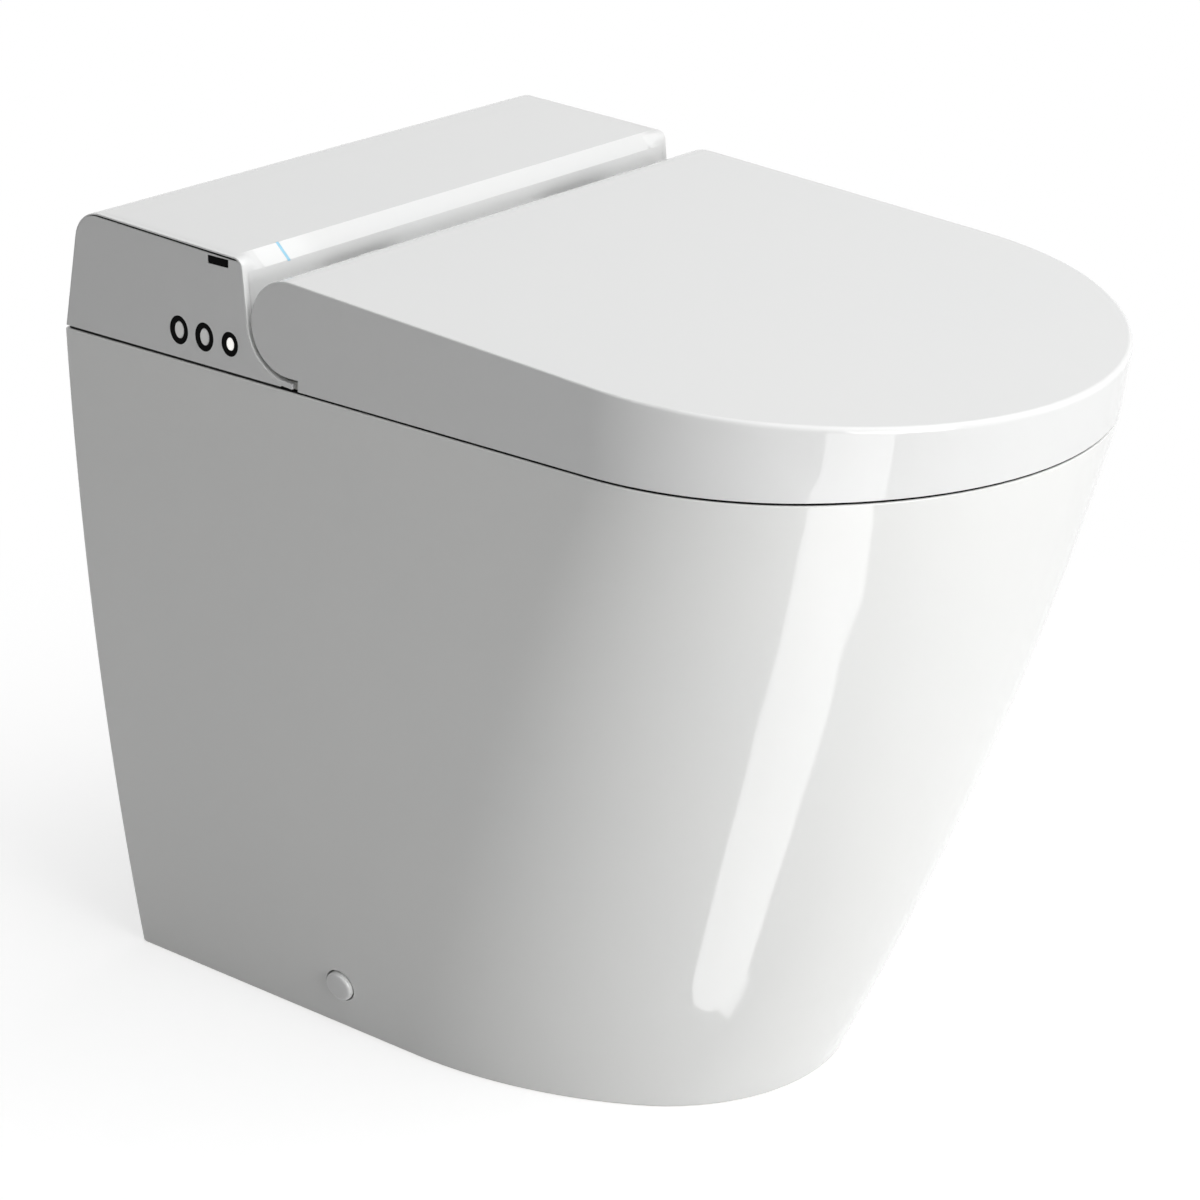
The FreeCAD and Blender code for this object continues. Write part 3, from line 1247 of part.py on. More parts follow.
def pinion_shape(phase):
    """Spur gear with involute flanks about the across axis, a tooth gap turned to the rack by the phase."""
    base = PITCH_RADIUS * math.cos(PRESSURE)
    outer = PITCH_RADIUS + MODULE
    root = PITCH_RADIUS - ROOT_DEPTH
    involute = math.tan(PRESSURE) - PRESSURE
    half_angle = math.pi / (2 * TEETH) - BACKLASH / (2 * PITCH_RADIUS)
    flank_steps = 5

    def polar(radius, angle):
        return Vector(0, radius * math.cos(angle), radius * math.sin(angle))

    points = []
    for i in range(TEETH):
        centre = 2 * math.pi * i / TEETH + phase
        flank = []
        for step in range(flank_steps + 1):
            radius = max(base, root) + (outer - max(base, root)) * step / flank_steps
            roll = math.acos(min(1.0, base / radius))
            flank.append((radius, half_angle + involute - (math.tan(roll) - roll)))
        low_angle = flank[0][1]
        points.append(polar(root, centre - low_angle))
        points.extend(polar(radius, centre - angle) for radius, angle in flank)
        points.extend(polar(radius, centre + angle) for radius, angle in reversed(flank))
        points.append(polar(root, centre + low_angle))
    face = Part.Face(Part.makePolygon(points + points[:1]))
    return face.extrude(Vector(number(d("rack_width")), 0, 0))


rack = doc.addObject("Part::Feature", "rack_teeth")
rack.Shape = in_slope(rack_shape(), WAND_BACK, PITCH_LINE, "0", TIP)
wand_groove = tilted_rod("wand_groove", d("wand_radius"), "0", (f"{WAND_BACK} - 1", HEAD_BACK), TIP)
piece("wand_rack", cut("rack", rack, wand_groove))
# The rack's tooth nearest the pinion sets how the pinion is turned, so that a gap faces a tooth.
PINION_ALONG = "(-dims.pinion_along)"
PINION_UP = f"({PITCH_LINE} + dims.rack_module * dims.pinion_teeth / 2)"
offset = number("dims.wand_length - dims.pinion_along") / (math.pi * MODULE)
lead = (offset - 0.5 - math.floor(offset - 0.5)) * math.pi * MODULE / PITCH_RADIUS
gear = doc.addObject("Part::Feature", "pinion_teeth_body")
gear_solid = pinion_shape(math.pi + math.pi / TEETH + lead)
gear_solid = gear_solid.translated(Vector(-number(d("rack_width")) / 2, 0, 0))
gear.Shape = in_slope(gear_solid, PINION_ALONG, PINION_UP, "0", TIP)
pinion_y, pinion_z = sloped(PINION_UP, PINION_ALONG, TIP)


def across_at(name, radius, length, x, y, z):
    """Round bar along X that starts at a point given by its own Y and Z."""
    item = bind(doc.addObject("Part::Cylinder", name), Radius=radius, Height=length)
    item.Placement = FreeCAD.Placement(Vector(), FreeCAD.Rotation(Vector(0, 1, 0), 90))
    return place(item, x, y, z)


CRADLE_IN = "(dims.head_radius + dims.cradle_clearance)"
CRADLE_OUT = f"({CRADLE_IN} + dims.cradle_wall)"
shaft = across_at("pinion_shaft", d("pinion_shaft_radius"),
                  f"{CRADLE_OUT} + dims.rack_width / 2 + dims.pinion_shaft_grip",
                  "-dims.rack_width / 2", pinion_y, pinion_z)
piece("drive_pinion", fuse("pinion", gear, shaft))

# Cradle that the wand slides in, with the drive motor on its side
FLOOR_UP = "(-(dims.wand_radius + dims.cradle_clearance))"
EAR_IN = f"({CRADLE_IN} + dims.cradle_wall / 4)"
cradle_span = (f"-{d('cradle_back')}", f"-{d('cradle_front')}")
cradle_parts = [
    tilted("cradle_floor", (f"-{CRADLE_OUT}", CRADLE_OUT), (f"{FLOOR_UP} - dims.cradle_wall", FLOOR_UP),
           cradle_span, TIP),
    tilted("cradle_side_right", (f"-{CRADLE_OUT}", f"-{CRADLE_IN}"), (FLOOR_UP, d("cradle_side")),
           cradle_span, TIP),
    tilted("cradle_side_left", (CRADLE_IN, CRADLE_OUT), (FLOOR_UP, d("cradle_side")), cradle_span, TIP),
    tilted("motor_plate", (CRADLE_IN, CRADLE_OUT), (FLOOR_UP, f"{PINION_UP} + dims.motor_radius"),
           (f"{PINION_ALONG} - dims.motor_radius", f"{PINION_ALONG} + dims.motor_radius"), TIP),
]
for sign, side in ((-1, "right"), (1, "left")):
    low = EAR_IN if sign > 0 else "-dims.cradle_ear_reach"
    high = d("cradle_ear_reach") if sign > 0 else f"-{EAR_IN}"
    cradle_parts.append(block(f"cradle_ear_{side}", (low, high),
                              ("dims.cradle_ear_setback - dims.cradle_ear_width / 2",
                               "dims.cradle_ear_setback + dims.cradle_ear_width / 2"),
                              (PLATE_TOP, f"{PLATE_TOP} + dims.cradle_ear")))
shaft_hole = across_at("shaft_hole", "dims.pinion_shaft_radius + dims.pin_clearance", "4 * dims.cradle_wall",
                       f"{CRADLE_IN} - dims.cradle_wall", pinion_y, pinion_z)
piece("wand_cradle", cut("cradle", fuse("cradle_solid", *cradle_parts), shaft_hole))
motor = across_at("motor_body", d("motor_radius"), d("motor_length"), CRADLE_OUT, pinion_y, pinion_z)
motor_hole = across_at("motor_hole", "dims.pinion_shaft_radius + dims.pin_clearance",
                       "dims.pinion_shaft_grip + 1",
                       f"{CRADLE_OUT} - 1", pinion_y, pinion_z)
piece("wand_motor", cut("motor", motor, motor_hole))

# Warm-air dryer: duct through the back of the bowl, flap on its end
DUCT_HALF = "(dims.duct_width / 2)"
DUCT_RISE = "(dims.duct_height / 2)"
duct_end = "-(dims.flap_thickness + dims.flap_clearance)"
duct_x = (f"dims.duct_x - {DUCT_HALF}", f"dims.duct_x + {DUCT_HALF}")
duct_bore_x = (f"{duct_x[0]} + dims.duct_wall", f"{duct_x[1]} - dims.duct_wall")
CHIMNEY_BACK = "(dims.blower_setback + dims.blower_radius + 2 * dims.duct_margin)"
CHIMNEY_FRONT = "(dims.cover_front - dims.cover_wall - 2 * dims.duct_wall)"
chimney_s = (CHIMNEY_BACK, CHIMNEY_FRONT)
chimney_bore_s = (f"{CHIMNEY_BACK} + dims.duct_wall", f"{CHIMNEY_FRONT} - dims.duct_wall")
chimney_low = "dims.duct_tip_height + (dims.wand_tip_setback - dims.well_front) * tan(dims.wand_tilt)"
duct_solid = fuse(
    "duct_solid",
    tilted("duct_outer", duct_x, (f"-{DUCT_RISE}", DUCT_RISE), (f"-{d('duct_length')}", duct_end), DUCT_TIP),
    block("chimney_outer", duct_x, chimney_s, (chimney_low, PLATE_TOP)))
ears = []
ear_pitch = (("right", (f"{duct_x[0]}", f"{duct_x[0]} + dims.duct_wall")),
             ("left", (f"{duct_x[1]} - dims.duct_wall", f"{duct_x[1]}")))
for side, span in ear_pitch:
    ears.append(tilted(f"flap_ear_{side}", span, (f"{DUCT_RISE} - 1", DUCT_TOP),
                       (f"{duct_end} - dims.flap_ear_length", "0"), DUCT_TIP))
flap_along = "-(dims.flap_pin_radius + dims.flap_thickness / 2)"
flap_y, flap_z = sloped(FLAP_AXIS, flap_along, DUCT_TIP)
pin_bore = across_at("flap_pin_bore", d("flap_pin_radius"), "dims.duct_width + 2", f"{duct_x[0]} - 1", flap_y,
                     flap_z)
duct_bore = tilted("duct_bore", duct_bore_x,
                   (f"-({DUCT_RISE} - dims.duct_wall)", f"{DUCT_RISE} - dims.duct_wall"),
                   (f"-{d('duct_length')} + dims.duct_wall", "1"), DUCT_TIP)
chimney_bore = block("chimney_bore", duct_bore_x, chimney_bore_s, (f"{chimney_low} + 1", f"{PLATE_TOP} + 1"))
piece("air_duct", cut("duct", fuse("duct_with_ears", duct_solid, *ears), duct_bore, chimney_bore, pin_bore))
piece("flap_pin", across_at("flap_pin_rod", d("flap_pin_radius"), d("duct_width"), duct_x[0], flap_y, flap_z))
flap_x = (f"{duct_bore_x[0]} + dims.flap_clearance", f"{duct_bore_x[1]} - dims.flap_clearance")
KNUCKLE = "(dims.flap_pin_radius + dims.flap_thickness / 2)"
flap_leaf = tilted("flap_leaf", flap_x, (f"-{DUCT_RISE}", FLAP_AXIS), ("-dims.flap_thickness", "0"), DUCT_TIP)
flap_knuckle = across_at("flap_knuckle", KNUCKLE, f"{flap_x[1]} - ({flap_x[0]})", flap_x[0], flap_y, flap_z)
flap_bore = across_at("flap_bore", "dims.flap_pin_radius + dims.pin_clearance", "dims.duct_width",
                      duct_x[0], flap_y, flap_z)
piece("dryer_flap", cut("flap", fuse("flap_solid", flap_leaf, flap_knuckle), flap_bore))

# Blower on the base plate: casing, impeller and motor
CASE_TOP = f"({PLATE_TOP} + dims.blower_height)"
case_axis = (d("duct_x"), d("blower_setback"))
case = fuse("case_solid",
            rod("case_round", "up", d("blower_radius"), d("blower_height"), *case_axis, PLATE_TOP),
            block("case_mouth", duct_x, (d("blower_setback"), chimney_s[1]), (PLATE_TOP, CASE_TOP)))
inside = fuse(
    "case_inside",
    rod("case_inside_round", "up", "dims.blower_radius - dims.blower_wall",
        "dims.blower_height - 2 * dims.blower_wall", *case_axis, f"{PLATE_TOP} + dims.blower_wall"),
    block("case_inside_mouth", duct_bore_x, (d("blower_setback"), chimney_bore_s[1]),
          (f"{PLATE_TOP} + dims.blower_wall", f"{CASE_TOP} - dims.blower_wall")),
    block("case_outlet", duct_bore_x, chimney_bore_s,
          (f"{PLATE_TOP} - 1", f"{PLATE_TOP} + 2 * dims.blower_wall")),
    rod("case_shaft_hole", "up", "dims.blower_shaft_radius + dims.pin_clearance", "dims.blower_height",
        *case_axis, f"{PLATE_TOP} + dims.blower_wall"))
piece("blower_casing", cut("casing", case, inside))
fan_low = f"{PLATE_TOP} + dims.blower_wall + dims.impeller_clearance"
fan_height = "(dims.blower_height - 2 * dims.blower_wall - 2 * dims.impeller_clearance)"
wheel_disc = rod("wheel_disc", "up", d("impeller_radius"), d("wheel_disc"), *case_axis, fan_low)
wheel_hub = rod("wheel_hub", "up", d("impeller_hub"), fan_height, *case_axis, fan_low)
blades = []
BLADES = int(round(number(d("impeller_blades"))))
for i in range(BLADES):
    blade = bind(doc.addObject("Part::Box", f"blade_{i}"),
                 Length="dims.impeller_radius - dims.impeller_hub + 1",
                 Width=d("blade_thickness"), Height=fan_height)
    angle = 360.0 * i / BLADES
    blade.Placement = FreeCAD.Placement(Vector(), FreeCAD.Rotation(Vector(0, 0, 1), angle))
    inner = "(dims.impeller_hub - dims.blade_thickness)"
    place(blade, f"dims.duct_x + {inner} * cos({angle})",
          f"{back(d('blower_setback'))} + {inner} * sin({angle})",
          fan_low)
    blades.append(blade)
wheel_limit = rod("wheel_limit", "up", d("impeller_radius"), fan_height, *case_axis, fan_low)
wheel_shaft = rod("wheel_shaft", "up", d("blower_shaft_radius"),
                  f"{CASE_TOP} + dims.blower_motor_length / 2 - ({fan_low})", *case_axis, fan_low)
wheel = common("wheel", fuse("wheel_solid", wheel_disc, wheel_hub, *blades), wheel_limit)
piece("blower_impeller", fuse("impeller", wheel, wheel_shaft))
blower_case = rod("blower_motor_case", "up", d("blower_motor_radius"), d("blower_motor_length"), *case_axis,
                  CASE_TOP)
blower_socket = rod("blower_motor_socket", "up", "dims.blower_shaft_radius + dims.pin_clearance",
                    "dims.blower_motor_length / 2 + 1 + dims.shaft_end_gap", *case_axis, f"{CASE_TOP} - 1")
piece("blower_motor", cut("blower_motor_body", blower_case, blower_socket))

# Water works on the floor of the well
tank_x = ("dims.heater_tank_x - dims.heater_tank_width / 2",
          "dims.heater_tank_x + dims.heater_tank_width / 2")
tank_raw = block("tank_raw", tank_x,
                 (d("heater_tank_setback"), "dims.heater_tank_setback + dims.heater_tank_depth"),
                 (d("well_floor"), "dims.well_floor + dims.heater_tank_height"))


def upright(edge):
    """Test for an upright edge of a box."""
    return edge.BoundBox.XLength < 0.01 and edge.BoundBox.YLength < 0.01


tank = rounded("tank", tank_raw, upright, d("heater_tank_round"))
tank_caps = [rod(f"tank_stub_{i}", "up", d("tank_stub_radius"), "dims.tank_stub_height + 1",
                 f"dims.heater_tank_x + {sign} * dims.tank_stub_spread / 2",
                 "dims.heater_tank_setback + dims.tank_stub_inset",
                 "dims.well_floor + dims.heater_tank_height - 1")
             for i, sign in enumerate(("-1", "1"))]
piece("water_heater", fuse("water_heater_body", tank, *tank_caps))
valve_x = ("-dims.valve_x - dims.valve_width / 2", "-dims.valve_x + dims.valve_width / 2")
valve_top = "(dims.well_floor + dims.valve_height)"
valve_box = block("valve_box", valve_x, ("dims.valve_setback - dims.valve_depth / 2",
                                         "dims.valve_setback + dims.valve_depth / 2"),
                  (d("well_floor"), valve_top))
coils = rod("valve_coil", "up", d("coil_radius"), "dims.coil_height + 1", "-dims.valve_x", d("valve_setback"),
            f"{valve_top} - 1")
inlet = rod("inlet_thread", "up", d("inlet_radius"), "dims.inlet_drop + 1", "-dims.valve_x",
            d("valve_setback"),
            f"{WELL_UNDER} - dims.inlet_drop")
inlet_shank = rod("inlet_shank", "up", SHANK_RADIUS, "dims.nut_height + dims.china_wall + 1", "-dims.valve_x",
                  d("valve_setback"), f"{WELL_UNDER} - dims.nut_height")
inlet_hole = rod("inlet_hole", "up", d("inlet_bore"),
                 "dims.inlet_drop + dims.china_wall + dims.inlet_depth + 1", "-dims.valve_x",
                 d("valve_setback"), f"{WELL_UNDER} - dims.inlet_drop - 1")
piece("inlet_valve", cut("valve", fuse("valve_solid", valve_box, coils, inlet, inlet_shank), inlet_hole))
nut_form = bind(doc.addObject("Part::Prism", "nut_form"), Circumradius=d("nut_radius"),
                Height=d("nut_height"))
nut_form.Polygon = 6
place(nut_form, "-dims.valve_x", back(d("valve_setback")), f"{WELL_UNDER} - dims.nut_height")
piece("inlet_nut",
      cut("nut", nut_form, rod("nut_hole", "up", SHANK_RADIUS, "dims.nut_height + 2", "-dims.valve_x",
                                            d("valve_setback"), f"{WELL_UNDER} - dims.nut_height - 1")))
PUMP_Z = "(dims.well_floor + dims.pump_radius)"
pump_case = rod("pump_case", "across", d("pump_radius"), d("pump_length"),
                "-dims.pump_x - dims.pump_length / 2",
                d("pump_setback"), PUMP_Z)
STUB_TOP = f"({PUMP_TOP} + 2 * dims.hose_grip)"
pump_stub = rod("pump_stub", "up", d("hose_bore"), f"{STUB_TOP} - {PUMP_Z}", "-dims.port_x",
                d("pump_setback"), PUMP_Z)
pump_foot = block("pump_foot", ("-dims.pump_x - dims.pump_length / 4", "-dims.pump_x + dims.pump_length / 4"),
                  ("dims.pump_setback - dims.pump_foot_depth / 2",
                   "dims.pump_setback + dims.pump_foot_depth / 2"),
                  (d("well_floor"), "dims.well_floor + dims.pump_foot_height"))
piece("flush_pump", fuse("pump", pump_case, pump_stub, pump_foot))

# Flush spreader in its port, and the hose that feeds it
SPREADER_TAIL = "(dims.well_front - dims.spreader_flange - dims.hose_grip)"
SPREADER_R = "(dims.port_radius - dims.spreader_clearance)"
spreader_body = rod("spreader_body", "forward", SPREADER_R, "dims.spreader_end - dims.well_front",
                    "-dims.port_x",
                    d("well_front"), PORT_HEIGHT)
spreader_flange = rod("spreader_flange_disc", "forward", "dims.port_radius + dims.spreader_lip",
                      d("spreader_flange"),
                      "-dims.port_x",
                      "dims.well_front - dims.spreader_flange", PORT_HEIGHT)
spreader_tail = rod("spreader_tail", "forward", d("hose_bore"), "dims.hose_grip + 1", "-dims.port_x",
                    SPREADER_TAIL,
                    PORT_HEIGHT)
spreader_bore = rod("spreader_bore", "forward", "dims.hose_bore - dims.spreader_wall",
                    f"dims.spreader_end - {SPREADER_TAIL} + 2", "-dims.port_x", f"{SPREADER_TAIL} - 1",
                    PORT_HEIGHT)
spout_slot = block("spout_slot",
                   ("-dims.port_x - dims.spout_width / 2", "-dims.port_x + dims.spout_width / 2"),
                   ("dims.spreader_end - dims.spout_depth", "dims.spreader_end + 1"),
                   (f"{PORT_HEIGHT} - dims.spout_height / 2", f"{PORT_HEIGHT} + dims.spout_height / 2"))
piece("flush_spreader", cut("spreader", fuse("spreader_solid", spreader_body, spreader_flange, spreader_tail),
                            spreader_bore, spout_slot))


def hose(name, radius):
    """Hose from the pump's stub, up and round one bend to the spreader's tail."""
    x = -number(d("port_x"))
    start = Vector(x, number(back(d("pump_setback"))), number(f"{PUMP_TOP} + dims.hose_gap"))
    end = Vector(x, number(back("dims.well_front - dims.spreader_flange")), number(PORT_HEIGHT))
    bend = min(number(d("hose_bend")), end.z - start.z - 1, start.y - end.y - 1)
    lower = Vector(x, start.y, end.z - bend)
    upper = Vector(x, start.y - bend, end.z)
    centre = Vector(x, start.y - bend, end.z - bend)
    middle = centre + Vector(0, 1, 1).normalize() * bend
    edges = [Part.LineSegment(start, lower), Part.Arc(lower, middle, upper), Part.LineSegment(upper, end)]
    path = Part.Wire([edge.toShape() for edge in edges])
    ring = Part.Wire(Part.makeCircle(number(radius), start, Vector(0, 0, 1)))
    tube = doc.addObject("Part::Feature", name)
    tube.Shape = path.makePipeShell([ring], True, False)
    return tube


piece("flush_hose",
      cut("hose_tube", hose("hose_outer", d("hose_radius")), hose("hose_inner", d("hose_bore"))))

# Cable gland in the well's floor
gland_axis = (d("gland_x"), d("gland_setback"))
gland_stem = rod("gland_stem", "up", d("gland_radius"), "dims.gland_drop + dims.china_wall", *gland_axis,
                 f"{WELL_UNDER} - dims.gland_drop")
gland_head = rod("gland_head", "up", "dims.gland_radius + dims.gland_lip", d("gland_flange"), *gland_axis,
                 d("well_floor"))
gland_hole = rod("gland_hole", "up", d("gland_bore"),
                 "dims.gland_drop + dims.china_wall + dims.gland_flange + 2",
                 *gland_axis, f"{WELL_UNDER} - dims.gland_drop - 1")
piece("cable_gland", cut("gland", fuse("gland_solid", gland_stem, gland_head), gland_hole))

# Boards on the base plate
BOARD_LEVEL = f"({PLATE_TOP} + dims.board_lift)"
board_s = (d("board_setback"), "dims.board_setback + dims.board_depth")
pcb = block("pcb", (f"-dims.board_x - {BOARD_HALF}", f"-dims.board_x + {BOARD_HALF}"), board_s,
            (BOARD_LEVEL, f"{BOARD_LEVEL} + dims.board_thickness"))
# Components on the board, each by its left edge, width, setback, depth and height
BOARD_PARTS = (
    (-40, 18, 14, 18, 4),
    (-10, 24, 20, 24, 3),
    (24, 14, 12, 26, 16),
    (-36, 30, 52, 16, 10),
    (8, 34, 60, 10, 12),
)
parts_on_board = [
    block(f"board_part_{i}", (f"-dims.board_x + {left}", f"-dims.board_x + {left} + {width}"),
          (f"dims.board_setback + {near}", f"dims.board_setback + {near} + {depth}"),
          (BOARD_LEVEL, f"{BOARD_LEVEL} + dims.board_thickness + {height}"))
    for i, (left, width, near, depth, height) in enumerate(BOARD_PARTS)]
piece("control_board", fuse("control_board_body", pcb, *parts_on_board))
supply_x = ("dims.supply_x - dims.supply_width / 2", "dims.supply_x + dims.supply_width / 2")
supply_raw = block("supply_raw", supply_x, (d("board_setback"), "dims.board_setback + dims.supply_depth"),
                   (PLATE_TOP, f"{PLATE_TOP} + dims.supply_height"))
piece("power_supply", rounded("supply", supply_raw, upright, d("supply_round")))

# Side fixings: bracket on the floor, screw through the skirt, cap over its head
brackets, side_screws, caps = [], [], []
BRACKET_FACE = f"({BORE_HALF} - dims.china_wall - dims.bracket_gap)"
for sign, side in ((-1, "right"), (1, "left")):
    def span(near, far):
        """X pair on this side from two distances off the middle."""
        return (near, far) if sign > 0 else (f"-({far})", f"-({near})")

    bracket_s = ("dims.fixing_setback - dims.bracket_width / 2",
                 "dims.fixing_setback + dims.bracket_width / 2")
    wall_part = block(f"bracket_wall_{side}", span(f"{BRACKET_FACE} - dims.bracket_plate", BRACKET_FACE),
                      bracket_s,
                      ("0", d("bracket_height")))
    foot_part = block(f"bracket_foot_{side}", span(f"{BRACKET_FACE} - dims.bracket_reach", BRACKET_FACE),
                      bracket_s,
                      ("0", d("bracket_foot")))
    tapped = rod(f"bracket_tap_{side}", "across", d("screw_radius"), "dims.bracket_plate + 2",
                 span(f"{BRACKET_FACE} - dims.bracket_plate - 1", f"{BRACKET_FACE} + 1")[0],
                 d("fixing_setback"), d("fixing_height"))
    floor_hole = rod(f"bracket_hole_{side}", "up", d("floor_hole_radius"), "dims.bracket_foot + 2",
                     f"{sign} * ({BRACKET_FACE} - dims.floor_hole_inset)", d("fixing_setback"), "-1")
    brackets.append(cut(f"bracket_{side}", fuse(f"bracket_solid_{side}", wall_part, foot_part), tapped,
                        floor_hole))
    tail = f"({BRACKET_FACE} - dims.bracket_plate)"
    shank = rod(f"side_shank_{side}", "across", d("screw_radius"), f"{BORE_HALF} - {tail} + 1",
                span(tail, f"{BORE_HALF} + 1")[0], d("fixing_setback"), d("fixing_height"))
    head = rod(f"side_head_{side}", "across", d("screw_head_radius"), d("screw_head"),
               span(BORE_HALF, f"{BORE_HALF} + dims.screw_head")[0], d("fixing_setback"), d("fixing_height"))
    side_screws.append(fuse(f"side_screw_{side}", shank, head))
    cap_end = f"{BORE_HALF} + dims.screw_head + dims.cap_clearance + dims.cap_face"
    cap_form = rod(f"cap_form_{side}", "across", d("cap_radius"), f"{cap_end} - {BORE_HALF}",
                   span(BORE_HALF, cap_end)[0], d("fixing_setback"), d("fixing_height"))
    cap_hollow = rod(f"cap_hollow_{side}", "across", "dims.screw_head_radius + dims.cap_clearance",
                     "dims.screw_head + dims.cap_clearance + 1",
                     span(f"{BORE_HALF} - 1", f"{BORE_HALF} + dims.screw_head + dims.cap_clearance")[0],
                     d("fixing_setback"), d("fixing_height"))
    cap_outer = (1 if sign > 0 else -1) * number(cap_end)

    def outer_edge(edge, face=cap_outer):
        """Test for the round edge of the cap's outer face."""
        box = edge.BoundBox
        return abs(box.XMin - face) < 0.01 and abs(box.XMax - face) < 0.01

    caps.append(cut(f"cap_{side}", rounded(f"cap_eased_{side}", cap_form, outer_edge, d("cap_round")),
                    cap_hollow))
piece("floor_brackets", group("brackets", *brackets))
piece("side_screws", group("side_screw_pair", *side_screws))
piece("side_caps", group("cap_pair", *caps))

doc.recompute()
for item in doc.Objects:
    if "Invalid" in item.State or "Error" in item.State:
        raise RuntimeError(f"{item.Name} failed: {item.State}")
for name, item in nodes.items():
    if item.Shape.isNull() or not item.Shape.isValid() or not item.Shape.Solids:
        raise RuntimeError(f"{name} has no valid shape")
os.makedirs("parts", exist_ok=True)
for name, item in nodes.items():
    item.Shape.exportStep(f"parts/{name}.step")
    print(name, len(item.Shape.Solids), round(item.Shape.Volume), item.Shape.BoundBox)
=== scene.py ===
import math

import bmesh
import bpy
from mathutils import Matrix, Vector


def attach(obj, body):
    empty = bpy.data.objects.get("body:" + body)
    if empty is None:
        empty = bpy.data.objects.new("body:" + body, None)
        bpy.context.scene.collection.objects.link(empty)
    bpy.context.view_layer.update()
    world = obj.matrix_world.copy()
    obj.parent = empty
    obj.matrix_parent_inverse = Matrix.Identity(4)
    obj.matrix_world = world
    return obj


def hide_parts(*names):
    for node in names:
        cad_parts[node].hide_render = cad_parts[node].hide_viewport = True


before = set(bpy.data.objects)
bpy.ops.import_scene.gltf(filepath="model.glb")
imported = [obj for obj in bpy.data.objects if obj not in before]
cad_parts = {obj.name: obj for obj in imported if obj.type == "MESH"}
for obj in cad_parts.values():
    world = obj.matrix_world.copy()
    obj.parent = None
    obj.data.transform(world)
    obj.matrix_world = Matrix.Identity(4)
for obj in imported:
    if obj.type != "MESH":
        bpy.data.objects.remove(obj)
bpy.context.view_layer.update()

scene = bpy.context.scene

# The studio: a white floor in a white room, a wide soft box overhead, another low to the left of the
# front and a narrow strip on the floor, whose reflection runs down the curved front of the china.
WHITE = "#FFFFFF"
FLOOR_HALF = 6.0
FLOOR_LIFT = 0.64
FADE_FROM = 0.35
FADE_TO = 0.9
ROOM_DARK = 0.03
ROOM_BRIGHT = 0.60
ROOM_BRIGHT_SIDE = (0.24, -0.38, 0.89)
SOFT_BOXES = (("soft_box_above", 20.6, 2.4, 2.0, (0.25, -0.60, 2.0), (0.0, 0.0, 0.45)),
              ("soft_box_front", 25.4, 1.2, 1.2, (-0.48, -2.18, 0.62), (0.0, 0.0, 0.25)))
STRIP_STRENGTH = 3.4
STRIP_LEVEL = 0.002
# Outline of the strip: a tongue from the foot of the china that widens forwards and spreads into a fan.
STRIP_EDGE = ((-0.325, -0.500), (-0.295, -0.415), (-0.260, -0.330), (-0.195, -0.235), (-0.130, -0.150),
              (-0.120, -0.145), (-0.110, -0.150), (-0.100, -0.160), (-0.095, -0.185), (-0.115, -0.250),
              (-0.135, -0.325), (-0.155, -0.490), (-0.170, -0.640), (-0.240, -0.800), (-0.375, -1.500),
              (-1.015, -1.500), (-0.545, -0.800), (-0.330, -0.640))
scene.view_settings.view_transform = "Standard"


def linear(code):
    """Linear colour of an sRGB hex code."""
    parts = [int(code[i:i + 2], 16) / 255 for i in (1, 3, 5)]
    return [p / 12.92 if p <= 0.04045 else ((p + 0.055) / 1.055) ** 2.4 for p in parts] + [1.0]


def add(tree, kind, sockets=None, **settings):
    """A node with its settings, and its sockets set to values or linked to (node, output)."""
    node = tree.nodes.new(kind)
    for key, value in settings.items():
        setattr(node, key, value)
    for socket, source in (sockets or {}).items():
        if isinstance(source, tuple) and hasattr(source[0], "outputs"):
            tree.links.new(source[0].outputs[source[1]], node.inputs[socket])
        else:
            node.inputs[socket].default_value = source
    return node


def seen_directly(tree):
    """1 for rays from the eye, a mirror or glass, 0 for rays that only carry light."""
    path = add(tree, "ShaderNodeLightPath")
    mirrored = add(tree, "ShaderNodeMath", {0: (path, "Is Camera Ray"), 1: (path, "Is Glossy Ray")},
                   operation="MAXIMUM")
    return add(tree, "ShaderNodeMath", {0: (mirrored, 0), 1: (path, "Is Transmission Ray")},
               operation="MAXIMUM")


# Studio room: pure white to the eye, a soft dome brightest above the front for the light it gives.
room = bpy.data.worlds.new("studio_room")
room.use_nodes = True
room_tree = room.node_tree
room_tree.nodes.clear()
room_where = add(room_tree, "ShaderNodeTexCoord")
room_facing = add(room_tree, "ShaderNodeVectorMath",
                  {0: (room_where, "Generated"), 1: ROOM_BRIGHT_SIDE}, operation="DOT_PRODUCT")
room_soft = add(room_tree, "ShaderNodeMapRange",
                {"Value": (room_facing, "Value"), "From Min": 0.0, "From Max": 1.0,
                 "To Min": ROOM_DARK, "To Max": ROOM_BRIGHT})
room_level = add(room_tree, "ShaderNodeMapRange",
                 {"Value": (seen_directly(room_tree), 0), "To Min": (room_soft, "Result"), "To Max": 1.0})
room_glow = add(room_tree, "ShaderNodeBackground",
                {"Color": linear(WHITE), "Strength": (room_level, "Result")})
add(room_tree, "ShaderNodeOutputWorld", {"Surface": (room_glow, "Background")})
scene.world = room

